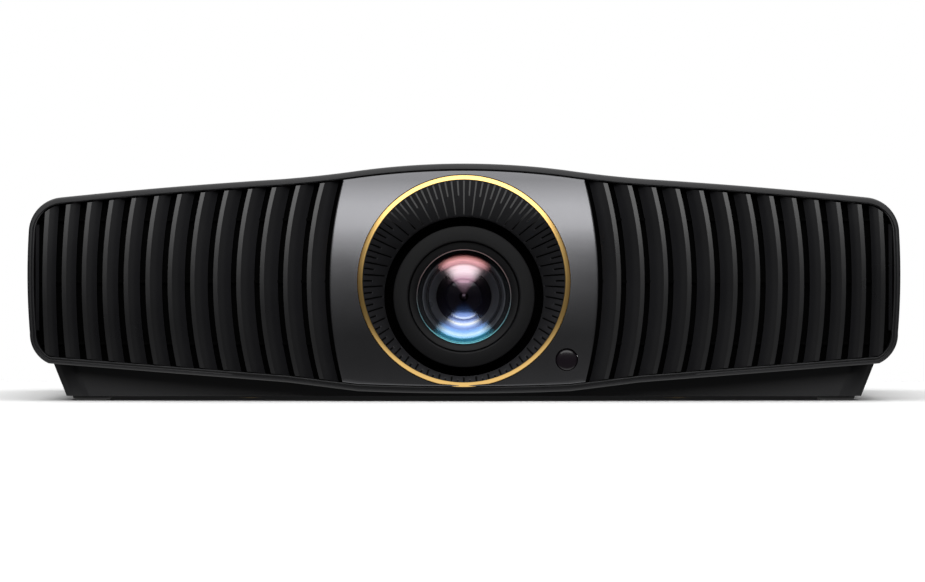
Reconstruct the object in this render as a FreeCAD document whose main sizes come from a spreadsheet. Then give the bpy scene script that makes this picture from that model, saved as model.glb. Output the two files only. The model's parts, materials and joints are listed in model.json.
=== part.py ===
import FreeCAD, Part
import math
import os
import Sketcher
from FreeCAD import Placement, Rotation, Vector

# A home projector, in millimetres. +Z is up, the lens looks along -Y, and +X is to the right as
# seen from the front. The origin is on the standing surface, under the middle of the case.

DIMENSIONS = {
    # outline of the case, seen from the front: half widths and heights of its corner points
    "case_top": 134.2, "hump_half": 60, "hump_edge": 130.1, "flank_half": 105, "flank_edge": 125.3,
    "shoulder_half": 228, "shoulder_edge": 115.3, "side_half": 246.2, "side_top": 97,
    "side_low_half": 245.6, "side_low": 38.6, "heel_half": 235, "heel": 21.3, "belly_half": 100,
    "belly": 10.9, "keel_half": 60, "keel": 5.9,
    # radii of the arcs between those points
    "hump_radius": 440, "flank_radius": 670, "roof_radius": 3000, "shoulder_radius": 20,
    "side_radius": 467, "heel_radius": 18, "keel_radius": 1385,
    # depth of the case, and the ellipsoid that all the front parts follow
    "front": -172.6, "frame_back": -135, "rear": 172.6, "pillow_deep": 100, "pillow_wide": 467,
    "pillow_high": 165, "pillow_level": 67,
    "wall": 2.8, "rim": 3.6, "joint_gap": 0.3,
    # receiver windows for the remote control, one in the centre panel and one in the rear panel
    "window_x": 57.9, "window_level": 23.7, "window_radius": 6.4, "rear_window_x": 20,
    "rear_window_level": 88,
    # centre panel, trim ring and funnel
    "panel_half": 75.6, "panel_bow": 228, "panel_wall": 3, "ring_level": 68, "ring_outer": 60,
    "ring_inner": 57, "ring_deep": 12, "funnel_back": -143, "funnel_radius": 45.3, "funnel_wall": 2,
    # louvres: a slat's front edge is at first + pitch * k - shrink * k^3 from the middle
    "slat_first": 88.6, "slat_pitch": 13.3, "slat_shrink": 0.0057, "slat_thick": 1.8,
    "slat_angle": 40, "slat_long": 20, "slat_lead": 8, "louvre_deep": 6.7,
    # the ribs behind the slats, the border round them, and the mesh behind those
    "rib_overlap": 0.5, "rib_deep": 2.8, "rib_high": 2, "border": 2.2, "mesh_gap": 0.9,
    "mesh_thick": 0.8,
    # lens and its shift mechanism
    "lens_level": 59.1, "barrel_outer": 36, "barrel_inner": 31.5, "face_outer": 40.2,
    "lens_front": -147, "lens_back": -36, "ring_grip": 40, "run_gap": 0.05, "cell_outer": 31.2,
    "glass_radius": 26.4, "zoom_radius": 20.5, "plate_thick": 4, "mount_plate": -56,
    # slotted inserts in the sides, and the rear panel's vents
    "grille_front": -60, "grille_rear": 30, "grille_low": 50, "grille_high": 88,
    "vent_left": -210, "vent_pitch": 9, "vent_wide": 4, "vent_low": 62, "vent_high": 98,
    # tray and feet
    "tray_top_half": 234.4, "tray_half": 227, "tray_top": 21, "tray_bottom": 2.5, "tray_front": -140,
    "tray_corner": 14, "tray_rear_corner": 6, "tray_floor": 2.5, "lip_half": 231.2, "lip_top": 30,
    "foot_x": 213, "foot_front": -118, "foot_rear": 140, "foot_radius": 11, "wheel_radius": 11.4,
    "stem_radius": 4, "foot_pin": 2.5, "wheel_low": 2.4, "wheel_top": 7.4, "stem_top": 30, "bush_radius": 7,
    "bush_top": 32, "screw_head": 3.2, "screw_radius": 1.6, "screw_long": 10,
    # ceiling mount: four M4 bushes
    "ceiling_x": 125, "ceiling_front": -60, "ceiling_rear": 80, "ceiling_hole": 2, "ceiling_bush": 4,
    "ceiling_boss": 8, "ceiling_deep": 12,
    # cover plate of the lamp's compartment, in the tray's floor
    "hatch_left": 116, "hatch_right": 206, "hatch_front": -10, "hatch_rear": 66, "hatch_rebate": 4,
    # lens-shift door and well
    "door_half": 44, "door_front": -118, "door_rear": -62, "door_gap": 0.6, "pin_back": 3,
    "pin_level": 131.7, "pin_radius": 1, "pin_half": 16.5, "knuckle_half": 12, "knuckle_radius": 2.4,
    "well_level": 106, "well_thick": 3,
    "dial_x": 26, "dial_y": -72, "dial_radius": 12, "dial_low": 3.4, "dial_top": 12, "shaft_radius": 3,
    # fans
    "fan_x": 150, "fan_y": -118, "fan_level": 64, "fan_half": 40, "fan_deep": 25,
    # optical engine and lamp
    "engine_half": 44, "engine_front": -30, "engine_back": 34, "engine_low": 24, "engine_top": 98,
    "light_y": 0, "light_level": 62, "lamp_x": 150, "wheel_x": 118,
    # rear connectors and keypad
    "jack_level": 36, "jack_radius": 4.2, "board_level": 26, "key_y": 96, "key_level": 67,
    "keypad_half": 26, "keypad_tall": 13, "bezel_thick": 2.2, "key_long": 4,
}


class Size:
    """A length that carries both its value and the spreadsheet expression that it comes from."""

    def __init__(self, text, value):
        self.text, self.value = text, float(value)

    def __add__(self, other):
        other = as_size(other)
        return Size(f"({self.text} + {other.text})", self.value + other.value)

    def __sub__(self, other):
        other = as_size(other)
        return Size(f"({self.text} - {other.text})", self.value - other.value)

    def __mul__(self, other):
        other = as_size(other)
        return Size(f"({self.text} * {other.text})", self.value * other.value)

    def __truediv__(self, other):
        other = as_size(other)
        return Size(f"({self.text} / {other.text})", self.value / other.value)

    def __radd__(self, other):
        return as_size(other) + self

    def __rsub__(self, other):
        return as_size(other) - self

    def __rmul__(self, other):
        return as_size(other) * self

    def __neg__(self):
        return Size(f"(0 - {self.text})", -self.value)

    def root(self):
        return Size(f"sqrt({self.text})", math.sqrt(self.value))


def as_size(value):
    return value if isinstance(value, Size) else Size(f"({float(value):.6g})", value)


class Sheet:
    """The driving dimensions: d.wall is the Size that the cell with the alias wall holds."""

    def __init__(self, document):
        sheet = document.addObject("Spreadsheet::Sheet", "dims")
        for row, (alias, value) in enumerate(DIMENSIONS.items(), 1):
            sheet.set(f"A{row}", alias)
            sheet.set(f"B{row}", str(value))
            sheet.setAlias(f"B{row}", alias)
            setattr(self, alias, Size(f"dims.{alias}", value))


doc = FreeCAD.newDocument("projector")
d = Sheet(doc)
doc.recompute()
pieces = []


# ---------------------------------------------------------------- building blocks


def bind(obj, prop, size):
    obj.setExpression(prop, as_size(size).text)


def put(obj, at):
    for axis, value in zip("xyz", at):
        bind(obj, f"Placement.Base.{axis}", value)
    return obj


def piece(obj, label):
    """Marks a finished sub-part: its label names its file."""
    obj.Label = label
    pieces.append(obj)
    return obj


def block(label, low, high):
    """A box from its lowest corner to its highest one."""
    made = doc.addObject("Part::Box", label)
    for prop, a, b in zip(("Length", "Width", "Height"), low, high):
        bind(made, prop, b - as_size(a))
    return put(made, low)


AXES = {"x": Rotation(Vector(0, 1, 0), 90), "y": Rotation(Vector(1, 0, 0), -90), "z": Rotation()}


def rod(label, axis, at, radius, length):
    """A cylinder that starts at a point and runs along +x, +y or +z."""
    made = doc.addObject("Part::Cylinder", label)
    bind(made, "Radius", radius)
    bind(made, "Height", length)
    made.Placement = Placement(Vector(), AXES[axis])
    return put(made, at)


def fuse(label, shapes):
    made = doc.addObject("Part::MultiFuse", label)
    made.Shapes = list(shapes)
    return made


def cut(label, base, tools):
    made = doc.addObject("Part::Cut", label)
    made.Base = base
    tools = list(tools)
    made.Tool = tools[0] if len(tools) == 1 else fuse(label + "_tools", tools)
    return made


def common(label, *shapes):
    made = doc.addObject("Part::MultiCommon", label)
    made.Shapes = list(shapes)
    return made


def mirrored(label, source, normal=(1, 0, 0)):
    made = doc.addObject("Part::Mirroring", label)
    made.Source = source
    made.Normal = Vector(*normal)
    return made


def group(label, shapes):
    """Several separate solids that are one sub-part, such as a set of screws."""
    made = doc.addObject("Part::Compound", label)
    made.Links = list(shapes)
    return made


def add_edge(sketch, a, b, radius):
    """Adds a line, or an arc if there is a radius; returns the numbers of its start and end."""
    if not radius:
        sketch.addGeometry(Part.LineSegment(a, b))
        return 1, 2
    chord = b.sub(a)
    half = chord.Length / 2
    sagitta = abs(radius) - math.sqrt(radius ** 2 - half ** 2)
    outward = Vector(chord.y, -chord.x, 0).normalize().multiply(math.copysign(sagitta, radius))
    middle = a.add(b).multiply(0.5).add(outward)
    if radius > 0:
        sketch.addGeometry(Part.Arc(a, middle, b))
        return 1, 2
    sketch.addGeometry(Part.Arc(b, middle, a))
    return 2, 1


def profile(body, plane, steps, offset=0):
    """A closed sketch. A step is (x, y) or (x, y, radius): radius bends the edge that ends there."""
    sketch = body.newObject("Sketcher::SketchObject", body.Name + "_profile")
    base = [f for f in body.Origin.OriginFeatures if f.Role == plane][0]
    sketch.AttachmentSupport, sketch.MapMode = [(base, "")], "FlatFace"
    bind(sketch, "AttachmentOffset.Base.z", offset)
    steps = [tuple(as_size(v) for v in step) for step in steps]
    points = [Vector(step[0].value, step[1].value, 0) for step in steps]
    count = len(steps)
    ends = []
    for i in range(count):
        to = (i + 1) % count
        bend = steps[to][2].value if len(steps[to]) == 3 else 0
        ends.append(add_edge(sketch, points[i], points[to], bend))
    for i in range(count):
        to = (i + 1) % count
        sketch.addConstraint(Sketcher.Constraint("Coincident", i, ends[i][1], to, ends[to][0]))
    for i, step in enumerate(steps):
        for kind, size in zip(("DistanceX", "DistanceY"), step):
            at = sketch.addConstraint(Sketcher.Constraint(kind, -1, 1, i, ends[i][0], size.value))
            sketch.setExpression(f"Constraints[{at}]", size.text)
    for i in range(count):
        step = steps[(i + 1) % count]
        if len(step) == 3 and step[2].value:
            radius = step[2] if step[2].value > 0 else -step[2]
            at = sketch.addConstraint(Sketcher.Constraint("Radius", i, radius.value))
            sketch.setExpression(f"Constraints[{at}]", radius.text)
    return sketch


def front_pad(label, steps, front, back):
    """A solid with this outline in x and z, from front to back along y."""
    body = doc.addObject("PartDesign::Body", label)
    pad = body.newObject("PartDesign::Pad", label + "_pad")
    pad.Profile = profile(body, "XZ_Plane", steps)
    bind(pad, "Length", back - as_size(front))
    body.Tip = pad
    return put(body, (0, back, 0))


def turned(label, axis, steps, at):
    """A turned solid about a line through at: steps are (radius, along), or (along, radius) for x."""
    body = doc.addObject("PartDesign::Body", label)
    sketch = profile(body, "XZ_Plane" if axis == "z" else "XY_Plane", steps)
    turn = body.newObject("PartDesign::Revolution", label + "_turn")
    turn.Profile = sketch
    turn.ReferenceAxis = (sketch, ["H_Axis" if axis == "x" else "V_Axis"])
    turn.Angle = 360
    body.Tip = turn
    return put(body, at)


def tube(label, axis, at, outer, inner, length):
    """A turned tube that starts at a point and runs along an axis."""
    if axis == "x":
        steps = [(0, inner), (length, inner), (length, outer), (0, outer)]
    else:
        steps = [(inner, 0), (outer, 0), (outer, length), (inner, length)]
    return turned(label, axis, steps, at)


# ---------------------------------------------------------------- the case


def case_outline(inset=0):
    """The case seen from the front, drawn inwards by inset, counterclockwise from the keel."""
    i = as_size(inset)
    right = [
        (d.keel_half, d.keel + i),
        (d.belly_half, d.belly + i),
        (d.heel_half - i * 0.3, d.heel + i),
        (d.side_low_half - i, d.side_low, d.heel_radius - i),
        (d.side_half - i, d.side_top, d.side_radius),
        (d.shoulder_half, d.shoulder_edge - i, d.shoulder_radius - i),
        (d.flank_half, d.flank_edge - i, d.roof_radius),
        (d.hump_half, d.hump_edge - i, -d.flank_radius),
    ]
    bends = [step[2] if len(step) == 3 else 0 for step in right]
    left = [(-step[0], step[1]) for step in reversed(right)]
    left_bends = [d.hump_radius] + list(reversed(bends[1:]))
    left = [(x, z, bend) if bend else (x, z) for (x, z), bend in zip(left, left_bends)]
    return [(d.keel_half, d.keel + i, d.keel_radius)] + right[1:] + left


def pillow(label, deeper=0):
    """The ellipsoid that bounds the front; deeper moves it back into the case."""
    made = doc.addObject("Part::Ellipsoid", label)
    bind(made, "Radius1", d.pillow_high)
    bind(made, "Radius2", d.pillow_wide)
    bind(made, "Radius3", d.pillow_deep)
    return put(made, (0, d.front + d.pillow_deep + deeper, d.pillow_level))


def front_frame():
    rim = front_pad("frame_outline", case_outline(), d.front - 5, d.frame_back)
    opening = front_pad("frame_opening", case_outline(d.rim), d.front - 6, d.frame_back + 1)
    ring_room = rod("ring_room", "y", (0, d.front - 6, d.ring_level), d.ring_outer + 0.2, 60)
    ring = cut("frame_ring", rim, [opening, ring_room])
    piece(common("frame_common", ring, pillow("frame_pillow")), "front_frame")


def panel_outline():
    """The centre panel's outline: its two sides are bowed."""
    top, low = d.case_top + 5, as_size(0)
    rise = top - d.pillow_level
    at_top = d.panel_half - d.panel_bow + (d.panel_bow * d.panel_bow - rise * rise).root()
    drop = d.pillow_level - low
    at_low = d.panel_half - d.panel_bow + (d.panel_bow * d.panel_bow - drop * drop).root()
    return [(at_low, low), (at_top, top, d.panel_bow), (-at_top, top), (-at_low, low, d.panel_bow)]


def pillow_shell(name, front, back):
    """The layer between two depths behind the front ellipsoid."""
    return cut(name + "_shell", pillow(name + "_outer", front), [pillow(name + "_inner", back)])


def front_panel():
    inside = front_pad("panel_inside", case_outline(d.rim + d.joint_gap), d.front - 5, d.frame_back)
    sides = front_pad("panel_sides", panel_outline(), d.front - 5, d.frame_back)
    plate = common("panel_plate", pillow_shell("panel", 0, d.panel_wall), inside, sides)
    hole = rod("panel_hole", "y", (0, d.front - 5, d.ring_level), d.ring_outer + 0.05, 60)
    place = (d.window_x, d.front - 5, d.window_level)
    window = rod("panel_window", "y", place, d.window_radius + 0.05, 60)
    piece(cut("panel_cut", plate, [hole, window]), "front_panel")
    disc = rod("window_disc", "y", place, d.window_radius, 60)
    front = common("window_common", disc, pillow_shell("window", 0.3, 6))
    rear = rod("rear_window", "y", (d.rear_window_x, d.rear - 6, d.rear_window_level),
               d.window_radius - 0.1, 4.3)
    piece(group("window_pair", [front, rear]), "ir_windows")


def gold_ring():
    band = tube("ring_band", "y", (0, d.front - 5, d.ring_level), d.ring_outer, d.ring_inner,
                d.ring_deep + 5)
    piece(common("ring_common", band, pillow("ring_pillow", -0.8)), "gold_ring")


def circle(label, radius, y, level):
    """A wire circle facing along y."""
    made = doc.addObject("Part::Circle", label)
    bind(made, "Radius", radius)
    made.Placement = Placement(Vector(), AXES["y"])
    return put(made, (0, y, level))


def cone_loft(label, front_radius, back_radius):
    """The solid between the trim ring's circle and the lens opening's lower, smaller one."""
    front = circle(label + "_front", front_radius, d.front + d.ring_deep, d.ring_level)
    back = circle(label + "_back", back_radius, d.funnel_back, d.lens_level)
    made = doc.addObject("Part::Loft", label)
    made.Sections = [front, back]
    made.Solid = True
    made.Ruled = True
    return made


def lens_funnel():
    shell = cut("funnel_cone", cone_loft("funnel_out", d.ring_inner + d.funnel_wall,
                                         d.funnel_radius + d.funnel_wall),
                [cone_loft("funnel_in", d.ring_inner, d.funnel_radius)])
    piece(shell, "lens_funnel")


SLATS = 13
RIB_LEVELS = (32, 67, 102)


def slat(k):
    """One slanted slat of the right louvre, its front edge on the front ellipsoid."""
    angle = math.radians(d.slat_angle.value)
    across = d.slat_first + d.slat_pitch * k - d.slat_shrink * k ** 3
    share = across / d.pillow_wide
    depth = d.front + d.pillow_deep * (1 - (1 - share * share).root())
    made = doc.addObject("Part::Box", f"slat_{k}")
    bind(made, "Length", d.slat_long)
    bind(made, "Width", d.slat_thick)
    bind(made, "Height", d.case_top)
    made.Placement = Placement(Vector(), Rotation(Vector(0, 0, 1), 180 - d.slat_angle.value))
    lead = d.slat_lead
    return put(made, (across + lead * math.cos(angle), depth - lead * math.sin(angle), 0))


def louvre_opening(name, inset, back):
    """The room inside the frame, to the right of the centre panel."""
    inside = front_pad(name + "_inside", case_outline(d.rim + inset), d.front - 5, back)
    gap = d.joint_gap + inset
    keep_out = front_pad(name + "_panel", [(x + gap if as_size(x).value > 0 else x - gap, z, *bend)
                                           for x, z, *bend in panel_outline()], d.front - 6, back + 1)
    left = block(name + "_left", (-d.side_half - 5, d.front - 6, 0), (0, back + 1, d.case_top + 5))
    return cut(name, inside, [keep_out, left])


def louvres():
    """Thirteen slats on each side, tied together behind by ribs and a border, with a mesh behind them."""
    back = d.louvre_deep + d.rib_deep
    slats = fuse("slats", [slat(k) for k in range(SLATS)])
    blades = common("blades", slats, pillow_shell("blades", 0, d.louvre_deep),
                    louvre_opening("blade_room", d.joint_gap, d.frame_back))
    ribs = [block(f"rib_{z}", (d.panel_half - 5, d.front, z), (d.side_half, d.frame_back, z + d.rib_high))
            for z in RIB_LEVELS]
    edge = cut("louvre_edge", louvre_opening("edge_out", d.joint_gap, d.frame_back),
               [louvre_opening("edge_in", d.border, d.frame_back + 1)])
    backing = common("louvre_backing", fuse("louvre_bars", ribs + [edge]),
                     louvre_opening("rib_room", d.joint_gap, d.frame_back),
                     pillow_shell("backing", d.louvre_deep - d.rib_overlap, back))
    right = fuse("right_louvre_solid", [blades, backing])
    piece(right, "right_louvre")
    piece(mirrored("left_louvre_solid", right), "left_louvre")
    mesh = common("mesh_right", louvre_opening("mesh_room", d.border + 0.2, d.frame_back),
                  pillow_shell("mesh", back + d.mesh_gap, back + d.mesh_gap + d.mesh_thick))
    piece(group("mesh_pair", [mesh, mirrored("mesh_left", mesh)]), "dust_meshes")


def door_room(name, gap):
    """The lens-shift door's room in the roof."""
    return block(name, (-d.door_half - gap, d.door_front - gap, d.case_top - 12),
                 (d.door_half + gap, d.door_rear + gap, d.case_top + 5))


def top_cover():
    outer = front_pad("cover_outer", case_outline(), d.frame_back + 0.2, d.rear)
    inner = front_pad("cover_inner", case_outline(d.wall), d.frame_back - 1, d.rear + 1)
    below = block("cover_below", (-300, d.frame_back - 1, -1), (300, d.rear + 1, d.tray_top + 0.6))
    lip_room = block("cover_lip_room", (-d.lip_half, d.frame_back - 1, -1),
                     (d.lip_half, d.rear + 1, d.lip_top))
    pin_room = rod("pin_room", "x", (-d.pin_half - 0.5, d.door_rear + d.pin_back, d.pin_level),
                   d.pin_radius + 0.03, 2 * d.pin_half + 1)
    hinge_room = block("hinge_room", (-16, d.door_rear - 1, d.case_top - 12),
                       (16, d.door_rear + 6.2, d.case_top + 5))
    keys = block("key_room", (d.side_half - 6, d.key_y - d.keypad_half, d.key_level - d.keypad_tall),
                 (d.side_half + 5, d.key_y + d.keypad_half, d.key_level + d.keypad_tall))
    sides = [block(f"grille_room_{s}", (s * d.side_half - 6, d.grille_front, d.grille_low),
                   (s * d.side_half + 6, d.grille_rear, d.grille_high)) for s in (-1, 1)]
    rooms = [below, lip_room, pin_room, door_room("door_hole", d.door_gap), hinge_room, keys]
    piece(cut("cover_cut", outer, [inner] + rooms + sides), "top_cover")


def side_grilles():
    """Slotted inserts in both sides of the cover, over the inlet and the lamp."""
    front, rear = d.grille_front + d.joint_gap, d.grille_rear - d.joint_gap
    outer = front_pad("grille_outer", case_outline(0.4), front, rear)
    inner = front_pad("grille_inner", case_outline(d.wall), front - 1, rear + 1)
    band = block("grille_band", (d.side_half - 10, front, d.grille_low + d.joint_gap),
                 (d.side_half + 5, rear, d.grille_high - d.joint_gap))
    slots = [block(f"grille_slot_{k}", (d.side_half - 12, d.grille_front + 4 + 7 * k, d.grille_low + 4),
                   (d.side_half + 6, d.grille_front + 7.5 + 7 * k, d.grille_high - 4))
             for k in range(12)]
    right = cut("grille_right", common("grille_plate", cut("grille_shell", outer, [inner]), band), slots)
    piece(group("grille_pair", [right, mirrored("grille_left", right)]), "side_grilles")


def rear_panel():
    plate = front_pad("rear_outline", case_outline(d.wall + 0.2), d.rear - 5, d.rear - 2)
    below = block("rear_below", (-300, 0, -1), (300, 300, d.tray_top + 0.8))
    vents = [block(f"rear_vent_{k}", (d.vent_left + d.vent_pitch * k, d.rear - 8, d.vent_low),
                   (d.vent_left + d.vent_pitch * k + d.vent_wide, d.rear, d.vent_high))
             for k in range(14)]
    holes = [block(f"rear_hole_{k}", (low[0], d.rear - 8, low[1]), (high[0], d.rear + 1, high[1]))
             for k, (low, high) in enumerate(REAR_HOLES)]
    jacks = [rod(f"rear_jack_{k}", "y", (x, d.rear - 8, d.jack_level), d.jack_radius, 10)
             for k, x in enumerate(JACKS)]
    window = rod("rear_window_hole", "y", (d.rear_window_x, d.rear - 8, d.rear_window_level),
                 d.window_radius, 10)
    piece(cut("rear_cut", plate, [below, window] + vents + holes + jacks), "rear_panel")


# ---------------------------------------------------------------- tray, feet and fasteners


def tray_plan(inset, level):
    """The tray's outline in x and y at a level: its sides slope and its corners are round."""
    slope = (d.tray_top_half - d.tray_half) / (d.tray_top - d.tray_bottom)
    half = d.tray_half + slope * (level - d.tray_bottom) - inset
    front, rear = d.tray_front + inset, d.rear - 1 - inset
    big, small = d.tray_corner - inset, d.tray_rear_corner - inset
    return [(-half + big, front, big), (half - big, front), (half, front + big, big), (half, rear - small),
            (half - small, rear, small), (-half + small, rear), (-half, rear - small, small),
            (-half, front + big)]


def tray_solid(label, inset, low, high):
    """The tray's solid between two levels."""
    body = doc.addObject("PartDesign::Body", label)
    foot, head = (profile(body, "XY_Plane", tray_plan(as_size(inset), as_size(level)), level)
                  for level in (low, high))
    loft = body.newObject("PartDesign::AdditiveLoft", label + "_loft")
    loft.Profile, loft.Sections, loft.Ruled = foot, [head], True
    body.Tip = loft
    return body


def foot_places():
    return [(s * d.foot_x, y, f"{end}_{side}") for y, end in ((d.foot_front, "front"), (d.foot_rear, "rear"))
            for s, side in ((-1, "left"), (1, "right"))]


def ceiling_places():
    return [(s * d.ceiling_x, y) for y in (d.ceiling_front, d.ceiling_rear) for s in (-1, 1)]


def bottom_case():
    outer = tray_solid("tray_outer", 0, d.tray_bottom, d.tray_top)
    inner = tray_solid("tray_inner", d.wall, d.tray_bottom + d.tray_floor, d.tray_top + 1)
    walls = cut("tray_walls", outer, [inner])
    bosses = [rod(f"foot_boss_{name}", "z", (x, y, d.tray_bottom), d.wheel_radius + 4, d.bush_top - 4)
              for x, y, name in foot_places()]
    flare = tray_solid("boss_limit", 0.4, d.tray_bottom, d.bush_top)
    bosses = [common("foot_bosses", fuse("foot_boss_set", bosses), flare)]
    bosses += [rod(f"ceiling_boss_{k}", "z", (x, y, d.tray_bottom), d.ceiling_boss, d.ceiling_deep)
               for k, (x, y) in enumerate(ceiling_places())]
    rooms = []
    for x, y, name in foot_places():
        rooms.append(rod(f"wheel_room_{name}", "z", (x, y, 0), d.wheel_radius + 0.8, 9.5))
        rooms.append(rod(f"bush_room_{name}", "z", (x, y, 5), d.bush_radius, 40))
    rooms += [rod(f"ceiling_room_{k}", "z", (x, y, 0), d.ceiling_bush, 40)
              for k, (x, y) in enumerate(ceiling_places())]
    slots = [block(f"floor_slot_{k}", (-184 + 8 * k, -30, 0), (-180 + 8 * k, 40, 6)) for k in range(9)]
    frame_room = front_pad("frame_room", case_outline(-0.2), d.tray_front - 1, d.frame_back + 0.2)
    lens_room = rod("lens_room", "y", (0, d.tray_front - 1, d.lens_level), d.ring_grip + 5, 60)
    rebate = block("hatch_rebate", (d.hatch_left, d.hatch_front, 0),
                   (d.hatch_right, d.hatch_rear, d.tray_bottom + 1.8))
    edge = d.hatch_rebate
    hatch = block("hatch_opening", (d.hatch_left + edge, d.hatch_front + edge, 0),
                  (d.hatch_right - edge, d.hatch_rear - edge, d.tray_bottom + d.tray_floor + 1))
    rooms += slots + [frame_room, lens_room, rebate, hatch]
    piece(cut("tray_cut", fuse("tray_body", [walls] + bosses), rooms), "bottom_case")


def bushes():
    feet = [tube(f"foot_bush_{name}", "z", (x, y, 10.2), d.bush_radius, d.stem_radius + d.run_gap,
                 d.bush_top - 11) for x, y, name in foot_places()]
    ceiling = [tube(f"ceiling_bush_{k}", "z", (x, y, d.tray_bottom), d.ceiling_bush, d.ceiling_hole,
                    d.ceiling_deep)
               for k, (x, y) in enumerate(ceiling_places())]
    piece(group("bush_set", feet + ceiling), "threaded_bushes")


def feet():
    """Each foot is a rubber pad that doesn't turn, on a wheel whose stem screws into the tray's bush."""
    for x, y, name in foot_places():
        pad = [(0, 0), (d.foot_radius - 0.6, 0), (d.foot_radius, 0.6), (d.foot_radius, 2.2),
               (d.foot_pin, 2.2), (d.foot_pin, 5), (0, 5)]
        piece(turned(f"pad_{name}_turn", "z", pad, (x, y, 0)), f"foot_pad_{name}")
        pin, low, top = d.foot_pin + d.run_gap, d.wheel_low, d.wheel_top
        wheel = [(pin, low), (d.wheel_radius, low), (d.wheel_radius, top), (d.stem_radius, top),
                 (d.stem_radius, d.stem_top), (0, d.stem_top), (0, low + 3), (pin, low + 3)]
        piece(turned(f"wheel_{name}_turn", "z", wheel, (x, y, 0)), f"foot_wheel_{name}")


def screw(name, x, y, level):
    """A screw along z with its conical head at level and its thread above it."""
    head, radius = d.screw_head, d.screw_radius
    steps = [(0, 0), (head, 0), (head, 1.6), (radius, 2.2), (radius, d.screw_long), (0, d.screw_long)]
    return turned(name, "z", steps, (x, y, level))


def case_screws():
    """Six screws up from the tray's floor."""
    places = [(s * x, y) for x, y in ((188, -120), (188, 150), (60, 150)) for s in (-1, 1)]
    heads = [screw(f"case_screw_{k}", x, y, d.tray_bottom + 2.5) for k, (x, y) in enumerate(places)]
    piece(group("case_screw_set", heads), "case_screws")


def lamp_door():
    """The cover plate of the lamp's compartment, let into the tray's floor, with a finger recess."""
    gap = d.joint_gap
    plate = block("lamp_door_plate", (d.hatch_left + gap, d.hatch_front + gap, d.tray_bottom),
                  (d.hatch_right - gap, d.hatch_rear - gap, d.tray_bottom + 1.75))
    middle = (d.hatch_left + d.hatch_right) / 2
    recess = rod("lamp_door_recess", "z", (middle, d.hatch_front + 9, 0), 6, d.tray_bottom + 0.9)
    piece(cut("lamp_door_cut", plate, [recess]), "lamp_door")


# ---------------------------------------------------------------- lens and shift


def dome(radius, rise):
    """The radius of the sphere whose cap has this radius and rise."""
    radius, rise = as_size(radius), as_size(rise)
    return (radius * radius + rise * rise) / (2 * rise)


def lens_tube(label, steps):
    """A turned part on the lens axis; steps are (radius, y)."""
    return turned(label, "y", steps, (0, 0, d.lens_level))


def lens_barrel():
    """The barrel with its face ring, the two seats for the rings and the rear flange."""
    f, b = d.lens_front, d.lens_back
    steps = [
        (d.barrel_inner, f), (d.face_outer - 0.8, f), (d.face_outer, f + 0.8), (d.face_outer, f + 4),
        (d.barrel_outer, f + 4), (d.barrel_outer, f + 62), (d.barrel_outer - 4, f + 62),
        (d.barrel_outer - 4, b), (20, b), (20, b - 6), (d.barrel_inner - 3, b - 6),
        (d.barrel_inner - 3, f + 60), (d.barrel_inner, f + 60),
    ]
    piece(lens_tube("barrel_turn", steps), "lens_barrel")
    r = as_size(19.9)
    rear = [(0, b - 4.5), (r, b - 4.5), (r, b - 0.5), (0, b + 1.5, dome(r, 2))]
    piece(lens_tube("rear_glass_turn", rear), "rear_glass")


def knurled(label, front, back, teeth):
    """A grip ring round the barrel, with grooves along it."""
    seat = d.barrel_outer + d.run_gap
    ring = lens_tube(label + "_sleeve", [(seat, front), (d.ring_grip - 0.4, front), (d.ring_grip, front + 1),
                                       (d.ring_grip, back - 1), (d.ring_grip - 0.4, back), (seat, back)])
    grooves = []
    for k in range(teeth):
        angle = 2 * math.pi * k / teeth
        reach = d.ring_grip + 0.3
        grooves.append(rod(f"{label}_groove_{k}", "y",
                           (reach * math.cos(angle), front + 2, d.lens_level + reach * math.sin(angle)),
                           1.1, back - front - 4))
    return cut(label + "_grip", ring, grooves)


def lens_rings():
    f = d.lens_front
    piece(knurled("focus", f + 6, f + 24, 36), "focus_ring")
    piece(knurled("zoom", f + 30, f + 48, 36), "zoom_ring")


def lens_cells():
    """The two moving cells with their glasses."""
    f, r = d.lens_front, d.cell_outer
    front_cell = [(d.glass_radius, f + 3), (r, f + 3), (r, f + 20), (22, f + 20), (22, f + 13),
                  (d.glass_radius, f + 13)]
    piece(lens_tube("focus_cell_turn", front_cell), "focus_cell")
    g = d.glass_radius - d.run_gap
    glass = [(0, f + 4), (g, f + 9, dome(g, 5)), (g, f + 12.8), (0, f + 9.8, -dome(g, 3))]
    piece(lens_tube("front_glass_turn", glass), "front_glass")
    zoom = [(d.zoom_radius, f + 32), (r, f + 32), (r, f + 48), (d.zoom_radius, f + 48)]
    piece(lens_tube("zoom_cell_turn", zoom), "zoom_cell")
    g = d.zoom_radius - d.run_gap
    glass = [(0, f + 34), (g, f + 38, dome(g, 4)), (g, f + 46), (0, f + 46)]
    piece(lens_tube("zoom_glass_turn", glass), "zoom_glass")


def shift_plate(label, y, half, low, high, hole):
    """A flat plate across the lens axis with a round hole for the barrel."""
    plate = block(label + "_plate", (-half, y, low), (half, y + d.plate_thick, high))
    opening = rod(label + "_hole", "y", (0, y - 1, d.lens_level), hole, d.plate_thick + 2)
    return cut(label + "_cut", plate, [opening])


def shift_mechanism():
    y = d.mount_plate
    piece(shift_plate("mount", y, as_size(64), d.tray_bottom + 2.6, as_size(104), 42), "lens_mount_plate")
    piece(shift_plate("vertical", y + d.plate_thick + 0.4, as_size(50), as_size(20), as_size(99), 36),
          "vertical_carriage")
    piece(shift_plate("horizontal", y + 2 * d.plate_thick + 0.8, as_size(46), as_size(22), as_size(97),
                      d.barrel_outer - 3.97), "horizontal_carriage")


DIAL_GROOVES = 24


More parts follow.
